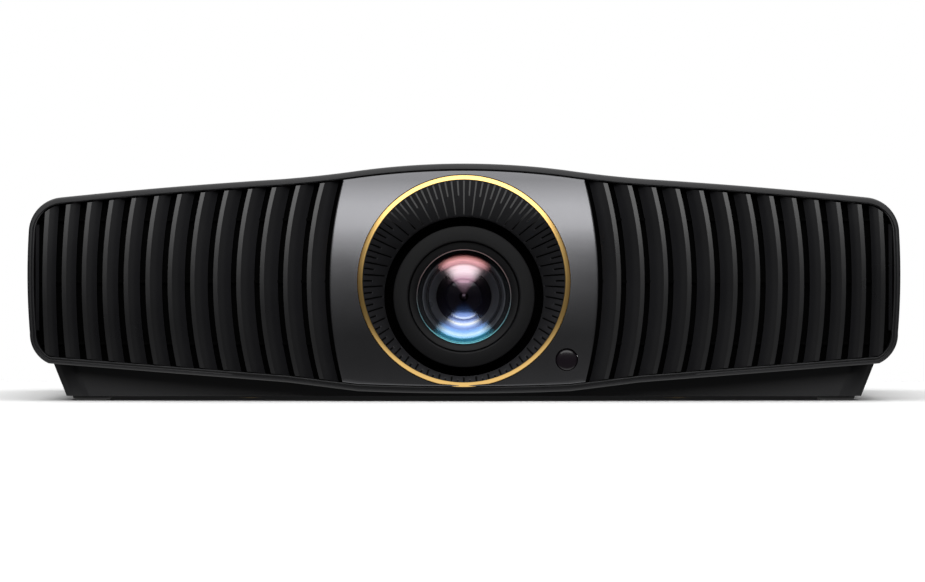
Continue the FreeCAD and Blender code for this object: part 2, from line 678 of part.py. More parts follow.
def shift_dials():
    """Two flat thumb wheels in the well, each on a shaft through the well's floor."""
    for s, name in ((-1, "vertical"), (1, "horizontal")):
        level, shaft = d.well_level, d.shaft_radius
        low, top = level + d.dial_low, level + d.dial_top
        steps = [(0, level - 12), (shaft, level - 12), (shaft, low), (d.dial_radius, low),
                 (d.dial_radius, top), (0, top)]
        dial = turned(f"{name}_dial_turn", "z", steps, (s * d.dial_x, d.dial_y, 0))
        grooves = []
        for k in range(DIAL_GROOVES):
            angle = 2 * math.pi * k / DIAL_GROOVES
            grooves.append(rod(f"{name}_dial_groove_{k}", "z",
                               (s * d.dial_x + (d.dial_radius + 0.3) * math.cos(angle),
                                d.dial_y + (d.dial_radius + 0.3) * math.sin(angle), level + 5), 0.9, 8))
        piece(cut(f"{name}_dial_cut", dial, grooves), f"{name}_dial")


def shift_well():
    """The tub under the door: a floor with the dials' bushes and a finger slot over the lens rings."""
    half, low = d.door_half + 3, d.well_level
    floor = block("well_floor", (-half, d.door_front - 3, low), (half, d.door_rear + 9, low + d.well_thick))
    slot = block("well_slot", (-34, d.door_front + 2, low - 1), (34, d.door_front + 30, low + 4))
    holes = [rod(f"well_hole_{s}", "z", (s * d.dial_x, d.dial_y, low - 1), d.shaft_radius + d.run_gap,
                 d.well_thick + 2) for s in (-1, 1)]
    piece(cut("well_cut", floor, [slot] + holes), "shift_well")


def shift_door():
    """The roof's hatch, hinged on a pin along x at its rear edge."""
    shell = cut("door_shell", front_pad("door_outer", case_outline(), -130, 0),
                [front_pad("door_inner", case_outline(d.wall), -131, 1)])
    plate = common("door_plate", shell, door_room("door_block", as_size(0)))
    pin_y = d.door_rear + d.pin_back
    trimmed = cut("door_trim", plate, [block("door_trim_room", (-60, d.door_rear - 0.4, 100),
                                             (60, d.door_rear + 9, 150))])
    half = d.knuckle_half
    arm = block("door_arm", (-half, d.door_rear - 4, d.pin_level - 1.6), (half, pin_y, d.pin_level + 1.6))
    knuckle = rod("door_knuckle", "x", (-half, pin_y, d.pin_level), d.knuckle_radius, 2 * half)
    bore = rod("door_bore", "x", (-half - 1, pin_y, d.pin_level), d.pin_radius + d.run_gap, 2 * half + 2)
    piece(cut("door_cut", fuse("door_body", [trimmed, arm, knuckle]), [bore]), "shift_door")
    pin = rod("door_pin", "x", (-d.pin_half, pin_y, d.pin_level), d.pin_radius, 2 * d.pin_half)
    piece(pin, "door_hinge_pin")


# ---------------------------------------------------------------- optical engine and lamp


def engine():
    """The cast housing behind the lens, open towards the lens, the chip and the light."""
    low = (-d.engine_half, d.engine_front, d.engine_low)
    high = (d.engine_half, d.engine_back, d.engine_top)
    outer = block("engine_outer", low, high)
    inner = block("engine_inner", (-d.engine_half + 3, d.engine_front + 3, d.engine_low + 3),
                  (d.engine_half - 3, d.engine_back - 3, d.engine_top - 3))
    lens_hole = rod("engine_lens_hole", "y", (0, d.engine_front - 1, d.lens_level), 26, 6)
    chip_hole = block("engine_chip_hole", (-13, d.engine_back - 5, 50), (13, d.engine_back + 1, 70))
    light_hole = rod("engine_light_hole", "x", (d.engine_half - 5, d.light_y, d.light_level), 13, 8)
    piece(cut("engine_cut", outer, [inner, lens_hole, chip_hole, light_hole]), "engine_housing")
    piece(block("chip", (-19, d.engine_back, 46), (19, d.engine_back + 3, 74)), "dmd_chip")
    base = block("sink_base", (-24, d.engine_back + 3, 40), (24, d.engine_back + 7, 80))
    fins = [block(f"sink_fin_{k}", (-24 + 5.2 * k, d.engine_back + 6, 40),
                  (-22.8 + 5.2 * k, d.engine_back + 26, 80)) for k in range(10)]
    piece(fuse("sink", [base] + fins), "dmd_heatsink")


def light_path():
    """From the lamp towards -x: colour wheel, light tunnel, relay lens."""
    y, z = d.light_y, d.light_level
    tunnel = block("tunnel", (78, y - 4, z - 3), (108, y + 4, z + 3))
    steps = [(56, 0), (61, 0), (59, 12, dome(12, 2)), (56, 12)]
    relay = turned("relay_turn", "x", steps, (0, y, z))
    mirror = block("mirror_block", (-14, -1, -16), (14, 1, 16))
    mirror.Placement = Placement(Vector(), Rotation(Vector(0, 0, 1), 45))
    put(mirror, (8, 2, z - 16))
    piece(group("optics_set", [tunnel, relay, mirror]), "relay_optics")
    hub = z - 19
    wheel = [(d.wheel_x - 0.6, 3.1), (d.wheel_x + 0.6, 3.1), (d.wheel_x + 0.6, 25), (d.wheel_x - 0.6, 25)]
    piece(turned("wheel_turn", "x", wheel, (0, y, hub)), "colour_wheel")
    motor = [(d.wheel_x + 1.2, 0), (d.wheel_x + 12, 0), (d.wheel_x + 12, 9), (d.wheel_x + 1.2, 9)]
    piece(turned("motor_turn", "x", motor, (0, y, hub)), "wheel_motor")


def lamp():
    """The lamp module: cage, reflector bowl opening towards -x, and the burner along its axis."""
    y, z, x = d.light_y, d.light_level, d.lamp_x
    outer = block("cage_outer", (x - 14, y - 34, z - 34), (x + 52, y + 34, z + 34))
    inner = block("cage_inner", (x - 15, y - 31.5, z - 31.5), (x + 49.5, y + 31.5, z + 31.5))
    vents = [block(f"cage_vent_{k}", (x - 4 + 12 * k, y - 40, z - 18), (x + 2 + 12 * k, y + 40, z + 18))
             for k in range(4)]
    piece(cut("cage_cut", outer, [inner] + vents), "lamp_housing")
    bowl = [(x - 6, 27), (x - 6, 30), (x + 14, 25.5, 60), (x + 26, 9), (x + 38, 9), (x + 38, 4.6),
            (x + 25, 4.6), (x + 13, 23)]
    bowl = turned("bowl_turn", "x", bowl, (0, y, z))
    burner = [(x - 2, 0), (x - 2, 1.5), (x + 12, 2.5), (x + 15, 5), (x + 19, 5), (x + 22, 2.5), (x + 30, 4.4),
              (x + 44, 4.4), (x + 44, 0)]
    piece(group("bulb_set", [bowl, turned("burner_turn", "x", burner, (0, y, z))]), "lamp_bulb")


def electronics():
    piece(board("main", (-96, 84), (d.rear - 90, d.rear - 6.5), d.board_level, 3), "main_board")
    piece(board("ballast", (132, 210), (52, 112), d.board_level - 8, 18), "lamp_ballast")
    piece(board("supply", (-212, -112), (-30, 120), d.board_level - 8, 18), "power_supply")


def board(name, across, along, level, tall):
    """A circuit board over the tray, with a row of parts as tall as tall."""
    (left, right), (front, back) = across, along
    thick = 1.6
    plate = block(name + "_plate", (left, front, level), (right, back, level + thick))
    step = (right - left) / 5
    chips = [block(f"{name}_chip_{k}", (left + step * (k + 0.2), front + 8, level + thick),
                   (left + step * (k + 0.8), front + 30, level + thick + tall))
             for k in range(5)]
    return fuse(name + "_fused", [plate] + chips)


def fan(name, x):
    """An axial fan behind a louvre: a square frame with a spider, and a seven-bladed rotor."""
    y, z, half = d.fan_y, d.fan_level, d.fan_half
    frame = block(name + "_block", (x - half, y, z - half), (x + half, y + d.fan_deep, z + half))
    bore = rod(name + "_bore", "y", (x, y - 1, z), half - 2, d.fan_deep - 2)
    through = rod(name + "_through", "y", (x, y - 1, z), half - 3, d.fan_deep + 2)
    spider = [block(name + "_arm_up", (x - 2, y + d.fan_deep - 3, z - half + 1),
                    (x + 2, y + d.fan_deep, z + half - 1)),
              block(name + "_arm_across", (x - half + 1, y + d.fan_deep - 3, z - 2),
                    (x + half - 1, y + d.fan_deep, z + 2)),
              rod(name + "_seat", "y", (x, y + d.fan_deep - 3, z), 15, 3)]
    square = cut(name + "_square", frame, [bore, through])
    shell = fuse(name + "_frame_solid", [square] + spider)
    hub = rod(name + "_hub", "y", (x, y + 3, z), 16, d.fan_deep - 7)
    blades = [fan_blade(name, k, x, y, z) for k in range(7)]
    piece(fuse(name + "_rotor_solid", [hub] + blades), name + "_rotor")
    return shell


def fan_blade(name, k, x, y, z):
    blade = doc.addObject("Part::Box", f"{name}_blade_{k}")
    bind(blade, "Length", d.fan_half - 2.6 - 14)
    bind(blade, "Width", 20)
    bind(blade, "Height", 1.6)
    turn = Rotation(Vector(0, 1, 0), 360 * k / 7)
    tilt = Rotation(Vector(1, 0, 0), 38)
    blade.Placement = Placement(Vector(), turn.multiply(tilt))
    corner = turn.multVec(Vector(14, -7.9, -6.9))
    return put(blade, (x + corner.x, y + 12 + corner.y, z + corner.z))


# ---------------------------------------------------------------- connectors and keypad

REAR_HOLES = [
    ((-92, 29), (-76, 35.2)), ((-66, 29), (-50, 35.2)),  # HDMI
    ((-40, 29), (-26, 35.2)), ((-20, 29), (-6, 35.2)),  # USB
    ((2, 28), (18, 42)),  # network
    ((26, 28), (44, 40)),  # serial
    ((150, 30), (178, 51)),  # mains inlet
]
JACKS = (54, 66, 76)


def socket(name, low, high, wall, deep):
    """An open box shell that faces the rear, as a connector does."""
    back = d.rear - 1.4
    outer = block(name + "_outer", (low[0], back - deep, low[1]), (high[0], back, high[1]))
    inner = block(name + "_inner", (low[0] + wall, back - deep + 2, low[1] + wall),
                  (high[0] - wall, back + 1, high[1] - wall))
    return cut(name + "_socket", outer, [inner])


def grown(hole, by):
    """A connector's size: its panel hole, less a small gap."""
    (x0, z0), (x1, z1) = hole
    return (x0 + by, z0 + by), (x1 - by, z1 - by)


def connectors():
    holes = [grown(hole, 0.3) for hole in REAR_HOLES]
    ports = [socket(f"port_{k}", *holes[k], wall, deep)
             for k, (wall, deep) in enumerate(((0.5, 12), (0.5, 12), (0.5, 14), (0.5, 14), (1, 15), (1, 10)))]
    jacks = [tube(f"jack_{k}", "y", (x, d.rear - 14, d.jack_level), d.jack_radius - 0.1, 1.8, 12.4)
             for k, x in enumerate(JACKS)]
    piece(group("port_set", ports + jacks), "signal_ports")
    inlet = socket("inlet", *holes[6], 1.8, 20)
    (x0, z0), (x1, z1) = holes[6]
    pins = [block(f"inlet_pin_{k}", ((x0 + x1) / 2 - 1 + dx, d.rear - 22, (z0 + z1) / 2 - 2 + dz),
                  ((x0 + x1) / 2 + 1 + dx, d.rear - 7, (z0 + z1) / 2 + 2 + dz))
            for k, (dx, dz) in enumerate(((-7, -2), (0, 3), (7, -2)))]
    piece(fuse("inlet_fused", [inlet] + pins), "mains_inlet")


# each key's place along y and z from the keypad's middle, and its radius
KEYS = {"power": (-18, 0, 4.5), "back": (-6, 7, 3.5)}
NAVIGATION, RING_KEY, OK_RADIUS = (8, -1), (9, 4.3), 4


def keypad():
    """A bezel let into the right side of the cover, with four push buttons."""
    x, y, z = d.side_half - d.bezel_thick, d.key_y, d.key_level
    half, tall = d.keypad_half - d.joint_gap, d.keypad_tall - d.joint_gap
    plate = block("keypad_plate", (x, y - half, z - tall), (d.side_half, y + half, z + tall))
    holes = [rod(f"key_hole_{name}", "x", (x - 1, y + dy, z + dz), radius + 0.3, 5)
             for name, (dy, dz, radius) in (KEYS | {"ring": (*NAVIGATION, RING_KEY[0])}).items()]
    piece(cut("keypad_cut", plate, holes), "keypad_bezel")
    for name, (dy, dz, radius) in KEYS.items():
        piece(rod(f"{name}_key", "x", (x - 2, y + dy, z + dz), radius, d.key_long), f"{name}_button")
    (dy, dz), (outer, inner) = NAVIGATION, RING_KEY
    piece(tube("navigation_key", "x", (x - 2, y + dy, z + dz), outer, inner, d.key_long), "navigation_ring")
    piece(rod("ok_key", "x", (x - 2, y + dy, z + dz), OK_RADIUS, d.key_long), "ok_button")


# ---------------------------------------------------------------- the whole projector


def check_all():
    """Every object has to be up to date and every sub-part has to be a valid solid."""
    for obj in doc.Objects:
        if {"Invalid", "Error"} & set(obj.State):
            raise RuntimeError(f"{obj.Label} failed: {obj.State}")
    for obj in pieces:
        if obj.Shape.isNull() or not obj.Shape.isValid() or not obj.Shape.Solids:
            raise RuntimeError(f"{obj.Label} has no valid solid")


def export_all():
    os.makedirs("parts", exist_ok=True)
    for obj in pieces:
        obj.Shape.exportStep(f"parts/{obj.Label}.step")


def main():
    for make in (front_frame, front_panel, gold_ring, lens_funnel, louvres, top_cover, side_grilles,
                 rear_panel, bottom_case, bushes, feet, case_screws, lamp_door, lens_barrel, lens_rings,
                 lens_cells, shift_mechanism, shift_dials, shift_well, shift_door, engine, light_path,
                 lamp, electronics, connectors, keypad):
        make()
    frames = [fan("exhaust_fan", d.fan_x), fan("intake_fan", -d.fan_x)]
    piece(group("fan_frame_pair", frames), "fan_frames")
    doc.recompute()
    check_all()
    export_all()


main()
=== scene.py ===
import json
import math

import bmesh
import bpy
import numpy as np
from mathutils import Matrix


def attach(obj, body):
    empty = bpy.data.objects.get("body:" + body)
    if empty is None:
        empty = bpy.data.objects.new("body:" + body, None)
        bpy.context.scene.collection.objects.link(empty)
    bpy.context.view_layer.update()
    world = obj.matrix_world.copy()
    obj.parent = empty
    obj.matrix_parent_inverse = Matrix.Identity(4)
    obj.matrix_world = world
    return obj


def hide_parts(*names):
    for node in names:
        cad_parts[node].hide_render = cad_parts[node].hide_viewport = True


# A home projector on a pale floor. Lengths here are in millimetres in the CAD frame: +Z up, the lens
# looks along -Y, +X to the right as seen from the front. MM turns them into Blender's metres.

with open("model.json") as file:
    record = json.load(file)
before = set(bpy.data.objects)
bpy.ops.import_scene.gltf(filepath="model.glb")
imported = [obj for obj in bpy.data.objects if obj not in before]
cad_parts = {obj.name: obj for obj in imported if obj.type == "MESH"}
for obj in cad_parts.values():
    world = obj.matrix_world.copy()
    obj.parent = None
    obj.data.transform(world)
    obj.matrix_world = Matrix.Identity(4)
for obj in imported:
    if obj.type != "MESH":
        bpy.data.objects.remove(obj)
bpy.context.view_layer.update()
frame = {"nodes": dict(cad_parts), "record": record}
MM = 0.001

# ---- shape shared with the CAD frame

FRONT, FRAME_BACK = -172.6, -135.0
PILLOW_DEEP, PILLOW_WIDE, PILLOW_HIGH, PILLOW_LEVEL = 100.0, 467.0, 165.0, 67.0
RIM, GAP, WALL = 3.6, 0.3, 2.8
RING_LEVEL, RING_OUTER, RING_INNER, RING_DEEP = 68.0, 60.0, 57.0, 12.0
LENS_LEVEL, FUNNEL_RADIUS, FUNNEL_BACK = 59.1, 45.3, -143.0
PANEL_HALF, PANEL_BOW = 75.6, 228.0
SLAT_FIRST, SLAT_PITCH, SLAT_SHRINK, SLAT_ANGLE = 88.6, 13.3, 0.0057, math.radians(40)
SLAT_THICK, LOUVRE_DEEP, SLATS = 1.8, 6.7, 13
SLAT_BEND, BEND_LOSS, DEPTH_LOSS, RIB_LEVELS = 1.08, 0.93, 2.4, (32, 67, 102)
COVER_FRONT, REAR = -134.8, 172.6
COVER_LOW, KEY_Y, KEY_LEVEL, KEY_BASE = 21.6, 96.0, 67.0, 242.0
# The side vents' openings and the dark sheets inside them, as side_boxes takes them, and the rear vent's sheet;
# the vent sheets are painted shade
SIDE_VENT, SIDE_SHADE_SHEET = (240, 252, (-60, 50), (30, 88)), (238, 238.6, (-66, 44), (36, 94))
REAR_SHADE_SHEET = ((-218, 163, 50), (-82, 163.6, 108))
LENS_FRONT = -147.0

# The case seen from the front: (half width, height, radius of the arc that ends there), from the keel up
CASE_CORNERS = [
    (60, 5.9, 0), (100, 10.9, 0), (235, 21.3, 0), (245.6, 38.6, 18), (246.2, 97, 467),
    (228, 115.3, 20), (105, 125.3, 3000), (60, 130.1, -670),
]
HUMP_RADIUS, KEEL_RADIUS, TIGHT_RADII = 440, 1385, (18, 20)
CASE_HALF, CASE_TOP = 246.2, 135
# The outline's points lie a coarse step apart on straight edges and on bends of more than GENTLE radius
COARSE_STEP, FINE_STEP, GENTLE = 1.6, 0.8, 400


def pillow(x, z):
    """The front ellipsoid's y at a place in x and z."""
    share = 1 - (x / PILLOW_WIDE) ** 2 - ((z - PILLOW_LEVEL) / PILLOW_HIGH) ** 2
    return FRONT + PILLOW_DEEP * (1 - np.sqrt(share))


def on_pillow(x, z, depth):
    """Points depth mm behind the pillow."""
    return np.stack([x, pillow(x, z) + depth, z], 1)


def at_depth(flat, y):
    """An outline of x and z, at one y."""
    return np.stack([flat[:, 0], np.full(len(flat), y), flat[:, 1]], 1)


def arc(a, b, radius, count):
    """count points from a up to, but not at, b; the arc's centre is on the left for a positive radius."""
    a, b = np.array(a, float), np.array(b, float)
    share = np.linspace(0, 1, count, endpoint=False)[:, None]
    if not radius:
        return a + (b - a) * share
    chord = b - a
    half = np.linalg.norm(chord) / 2
    left = np.array([-chord[1], chord[0]]) / (2 * half)
    centre = (a + b) / 2 + left * math.copysign(math.sqrt(radius ** 2 - half ** 2), radius)
    start = math.atan2(*(a - centre)[::-1])
    sweep = 2 * math.asin(half / abs(radius)) * math.copysign(1, radius)
    angle = start + sweep * share[:, 0]
    return centre + abs(radius) * np.stack([np.cos(angle), np.sin(angle)], 1)


def case_outline(inset=0.0):
    """Points round the case, counterclockwise from the right end of the keel, drawn inwards by inset."""
    right = []
    for k, (x, z, radius) in enumerate(CASE_CORNERS):
        up = inset if k < 3 else (0 if k < 5 else -inset)
        side = 0.3 * inset if k == 2 else (inset if k in (3, 4) else 0)
        tight = radius - inset if radius in TIGHT_RADII else radius
        right.append((x - side, z + up, tight))
    left = [(-x, z) for x, z, _ in reversed(right)]
    bends = [r for _, _, r in right[1:]]
    corners = [(x, z) for x, z, _ in right] + left
    bends = bends + [HUMP_RADIUS] + bends[::-1] + [KEEL_RADIUS]
    points = []
    for k, bend in enumerate(bends):
        a, b = corners[k], corners[(k + 1) % len(corners)]
        length = math.dist(corner_at(k), corner_at((k + 1) % len(corners)))
        count = max(2, round(length / (COARSE_STEP if bend == 0 or abs(bend) > GENTLE else FINE_STEP)))
        points.append(arc(a, b, bend, count))
    return np.concatenate(points)


def corner_at(k):
    """The k-th corner of the plain outline, right side then left."""
    if k < len(CASE_CORNERS):
        return CASE_CORNERS[k][:2]
    x, z, _ = CASE_CORNERS[2 * len(CASE_CORNERS) - 1 - k]
    return -x, z


def edge_height(x, inset, top):
    """The height of the inset outline's top or bottom edge at x."""
    points = case_outline(inset)
    points = points[points[:, 1] > PILLOW_LEVEL if top else points[:, 1] < PILLOW_LEVEL]
    order = np.argsort(points[:, 0])
    return np.interp(x, points[order, 0], points[order, 1])


def roof(x):
    """The height of the case's top at x."""
    return edge_height(x, 0, True)


# ---- meshes


def linked(name, data):
    """An object of the scene that shows data."""
    obj = bpy.data.objects.new(name, data)
    bpy.context.scene.collection.objects.link(obj)
    return obj


def mesh_data(name, shape, weld=True):
    """A mesh of a vertex list in millimetres and a face list, with its normals outwards."""
    vertices, faces = shape
    data = bpy.data.meshes.new(name)
    data.from_pydata((np.asarray(vertices, float) * MM).tolist(), [], faces)
    made = bmesh.new()
    made.from_mesh(data)
    if weld:
        bmesh.ops.remove_doubles(made, verts=made.verts, dist=1e-7)
    bmesh.ops.recalc_face_normals(made, faces=made.faces)
    made.to_mesh(data)
    made.free()
    return data


def new_mesh(name, shape, body, slot, replaces=(), smooth=40, material=None):
    """A piece that rides on a CAD body, in its slot's finish unless told, shaded smooth up to an angle."""
    obj = linked(name, mesh_data(name, shape))
    soften(obj, smooth)
    obj.data.materials.append(material or MATERIALS[slot])
    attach(obj, body)
    if replaces:
        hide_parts(*replaces)
    return obj


def soften(obj, angle):
    """Smooth shading, with edges sharper than angle kept sharp."""
    obj.data.shade_smooth()
    obj.data.set_sharp_from_angle(angle=math.radians(angle))


def lofted(rings, closed_rings=True, closed_loft=False, caps=False):
    """Vertices and quads through rings of equally many points."""
    rings = [np.asarray(r, float) for r in rings]
    count = len(rings[0])
    vertices = np.concatenate(rings)
    faces = []
    last = len(rings) if closed_loft else len(rings) - 1
    width = count if closed_rings else count - 1
    for i in range(last):
        a, b = i * count, ((i + 1) % len(rings)) * count
        faces += [(a + j, a + (j + 1) % count, b + (j + 1) % count, b + j) for j in range(width)]
    if caps:
        faces.append(tuple(range(count))[::-1])
        faces.append(tuple((len(rings) - 1) * count + j for j in range(count)))
    return vertices, faces


def joined(parts):
    """Several vertex and face lists as one."""
    vertices, faces, base = [], [], 0
    for v, f in parts:
        vertices.append(np.asarray(v, float))
        faces += [tuple(i + base for i in face) for face in f]
        base += len(v)
    return np.concatenate(vertices), faces


def full_turn(steps):
    """Angles round a circle."""
    return np.linspace(0, 2 * math.pi, steps, endpoint=False)


def lathe_ring(reach, along, angle, centre, axis):
    """A ring about a line through centre; reach is its radius, or one for each angle."""
    u, v, w = reach * np.cos(angle), reach * np.sin(angle), np.full(len(angle), float(along))
    return np.stack({"y": (u, w, v), "z": (u, v, w), "x": (w, u, v)}[axis], 1) + np.array(centre, float)


def turned(profile, centre, axis="y", steps=180):
    """A lathe shape from (radius, along) points about a line through centre."""
    angle = full_turn(steps)
    rings = [lathe_ring(radius, along, angle, centre, axis) for radius, along in profile]
    return lofted(rings, closed_loft=True)


def fluted(profile, teeth, depth, centre, axis):
    """A lathe shape from (radius, along) rows; those with a third entry are cut into teeth."""
    angle = full_turn(teeth * 8)
    wave = (np.cos(angle * teeth) < -0.35) * depth
    rings = [lathe_ring(radius - (wave if toothed else 0), along, angle, centre, axis)
             for radius, along, *toothed in profile]
    return lofted(rings, closed_loft=True)


# ---- materials


def nodes_of(name):
    """A new material, its node tree and its shader."""
    material = bpy.data.materials.new(name)
    material.use_nodes = True
    tree = material.node_tree
    return material, tree, tree.nodes["Principled BSDF"]


def add(tree, kind, **inputs):
    """A node with its sockets set or linked by name."""
    node = tree.nodes.new(kind)
    for key, value in inputs.items():
        key = key.replace("_", " ")
        if isinstance(value, bpy.types.NodeSocket):
            tree.links.new(value, node.inputs[key])
        else:
            node.inputs[key].default_value = value
    return node


def colour_ramp(tree, value, stops):
    """A socket's value as a colour, through stops of a place from 0 to 1 and a colour each."""
    ramp = add(tree, "ShaderNodeValToRGB", Fac=value)
    elements = ramp.color_ramp.elements
    for place, _ in stops[1:-1]:
        elements.new(place)
    for element, (place, colour) in zip(elements, stops):
        element.position, element.color = place, (*colour, 1)
    return ramp.outputs["Color"]


def coordinates(tree, kind="Object"):
    """The x, y and z of a shaded point."""
    place = tree.nodes.new("ShaderNodeTexCoord").outputs[kind]
    return add(tree, "ShaderNodeSeparateXYZ", Vector=place).outputs


def paint(tree, colour):
    """Links a colour to the material's shader."""
    tree.links.new(colour, tree.nodes["Principled BSDF"].inputs["Base Color"])


def grained(name, color, rough, grain=900, bump=0.15, spread=0.15, metallic=0.0, specular=0.5, coat=0.0):
    """Moulded or painted surface: fine grain in the bump, slow variation in colour and roughness."""
    material, tree, shader = nodes_of(name)
    place = tree.nodes.new("ShaderNodeTexCoord").outputs["Object"]
    fine = add(tree, "ShaderNodeTexNoise", Vector=place, Scale=grain, Detail=3.0)
    slow = add(tree, "ShaderNodeTexNoise", Vector=place, Scale=14.0, Detail=4.0)
    deep, pale = [c * (1 - spread) for c in color], [min(1, c * (1 + spread)) for c in color]
    paint(tree, colour_ramp(tree, slow.outputs["Fac"], [(0.3, deep), (0.7, pale)]))
    shine = add(tree, "ShaderNodeMapRange", Value=slow.outputs["Fac"], From_Min=0.3, From_Max=0.7,
                To_Min=rough - 0.04, To_Max=rough + 0.04)
    tree.links.new(shine.outputs["Result"], shader.inputs["Roughness"])
    relief = add(tree, "ShaderNodeBump", Height=fine.outputs["Fac"], Strength=bump, Distance=0.0001)
    tree.links.new(relief.outputs["Normal"], shader.inputs["Normal"])
    shader.inputs["Metallic"].default_value = metallic
    shader.inputs["Specular IOR Level"].default_value = specular
    shader.inputs["Coat Weight"].default_value = coat
    return material


# Each slot's colour, roughness and what differs from grained's plain values
FINISHES = {
    "case_black": ((0.012, 0.012, 0.013), 0.45, {"specular": 0.3}),
    "louvre_black": ((0.009, 0.009, 0.010), 0.33, {"grain": 1400, "bump": 0.06}),
    "tray_black": ((0.010, 0.010, 0.011), 0.5, {"grain": 700, "specular": 0.3}),
    "ring_gold": ((0.9, 0.58, 0.2), 0.3, {"grain": 3000, "bump": 0.03, "metallic": 1.0, "spread": 0.05}),
    "funnel_black": ((0.016, 0.016, 0.018), 0.5, {"grain": 1800}),
    "window_black": ((0.006, 0.004, 0.006), 0.12, {"bump": 0.0}),
    "mesh_black": ((0.002, 0.002, 0.002), 0.9, {"specular": 0.0}),
    "lens_black": ((0.006, 0.006, 0.0065), 0.48, {"grain": 2500, "bump": 0.08, "specular": 0.14}),
    "steel": ((0.55, 0.55, 0.57), 0.3, {"grain": 1200, "metallic": 1.0, "spread": 0.06}),
    "bush_brass": ((0.72, 0.5, 0.2), 0.3, {"grain": 1500, "metallic": 1.0}),
    "rubber_black": ((0.012, 0.012, 0.012), 0.75, {"grain": 600, "bump": 0.3}),
    "engine_alloy": ((0.5, 0.5, 0.52), 0.5, {"grain": 500, "bump": 0.4, "metallic": 0.9}),
    "sink_alloy": ((0.7, 0.71, 0.73), 0.35, {"grain": 900, "metallic": 1.0}),
    "board_green": ((0.01, 0.09, 0.04), 0.4, {"grain": 250, "bump": 0.25}),
    "chip_black": ((0.02, 0.02, 0.024), 0.45, {}),
    "fan_black": ((0.01, 0.01, 0.01), 0.45, {}),
    "key_black": ((0.022, 0.022, 0.024), 0.4, {"grain": 1500}),
    "port_metal": ((0.5, 0.5, 0.5), 0.3, {"grain": 1500, "metallic": 1.0}),
    "lamp_cage": ((0.45, 0.45, 0.45), 0.4, {"grain": 600, "metallic": 1.0}),
    "inlet_black": ((0.02, 0.02, 0.02), 0.45, {}),
    "lamp_glass": ((0.7, 0.74, 0.8), 0.1, {"bump": 0.02, "coat": 0.5}),
    "lens_glass": ((0.004, 0.003, 0.006), 0.06, {"bump": 0.0}),
}
# The louvres' visible pieces have a material of their own, with painted light, so their slot's plain one has
# another name
MATERIALS = {slot: grained(slot + ("_plain" if slot == "louvre_black" else "_finish"), colour, rough, **more)
             for slot, (colour, rough, more) in FINISHES.items()}
# The ticks' painted shade and painted highlight, and the heights over which the one turns into the other
TICK_PAINTED_SHADE, TICK_PAINTED_HIGHLIGHT, TICK_SHADE_TO_HIGHLIGHT = 0.0012, 0.2, (98, 112)
PANEL_TONE = (0.165, 0.165, 0.173)


def louvre_painted_light():
    """The louvres' black with painted light: lighter the deeper a point lies behind the pillow, against the
    shade between the slats.
    """
    material = grained("louvre_black_finish", (0.0085, 0.0085, 0.0095), 0.3, grain=1400, bump=0.05,
                       specular=0.72)
    tree = material.node_tree
    tone = tree.nodes["Principled BSDF"].inputs["Base Color"].links[0].from_socket
    depth = tree.nodes.new("ShaderNodeAttribute")
    depth.attribute_name = "depth"
    # Painted light: the black is lifted with depth behind the pillow, evening out the shade between the slats
    painted_gain = add(tree, "ShaderNodeMapRange", Value=depth.outputs["Fac"], To_Min=0.6, To_Max=1.4)
    lift = tree.nodes.new("ShaderNodeVectorMath")
    lift.operation = "SCALE"
    tree.links.new(tone, lift.inputs[0])
    tree.links.new(painted_gain.outputs["Result"], lift.inputs["Scale"])
    paint(tree, lift.outputs["Vector"])
    return material


def height_ramp(tree, low, high):
    """0 at height low and 1 at height high, in millimetres, from the object's own coordinates."""
    ramp = add(tree, "ShaderNodeMapRange", Value=coordinates(tree)["Z"], From_Min=low * MM, From_Max=high * MM)
    ramp.interpolation_type = "SMOOTHSTEP"
    return ramp.outputs["Result"]


def tick_painted_light():
    """The engraved ticks' painted light: a painted highlight at the top of the dial and painted shade, black,
    at its sides and bottom.
    """
    material, tree, shader = nodes_of("tick_painted_light")
    stops = [(0, (TICK_PAINTED_SHADE,) * 3), (1, (TICK_PAINTED_HIGHLIGHT,) * 3)]
    paint(tree, colour_ramp(tree, height_ramp(tree, *TICK_SHADE_TO_HIGHLIGHT), stops))
    shader.inputs["Roughness"].default_value = 0.6
    shader.inputs["Specular IOR Level"].default_value = 0.1
    return material


# The coats' painted reflections: how far the bands go, the share of that from which a coat spreads wider, and
# by how much, the steepness at which it starts to show, and what is left of it at the sides
GLASS_REACH, WIDER_FROM, WIDER_BY, FADE_STEEP, FADE_LEFT = 26.4, 0.71, 0.06, 0.76, 0.03


def math_node(tree, operation, *values):
    """The result of an operation on numbers and sockets."""
    node = tree.nodes.new("ShaderNodeMath")
    node.operation = operation
    for socket, value in zip(node.inputs, values):
        if isinstance(value, (int, float)):
            socket.default_value = value
        else:
            tree.links.new(value, socket)
    return node.outputs[0]


def lens_place(tree, side):
    """The distance from the lens axis, and the height over it, times side, as a share of that distance."""
    place = coordinates(tree)
    lift = math_node(tree, "SUBTRACT", place["Z"], LENS_LEVEL * MM)
    flat = add(tree, "ShaderNodeCombineXYZ", X=place["X"], Y=lift)
    length = tree.nodes.new("ShaderNodeVectorMath")
    length.operation = "LENGTH"
    tree.links.new(flat.outputs["Vector"], length.inputs[0])
    steep = math_node(tree, "DIVIDE", math_node(tree, "MULTIPLY", lift, side), length.outputs["Value"])
    return length.outputs["Value"], steep


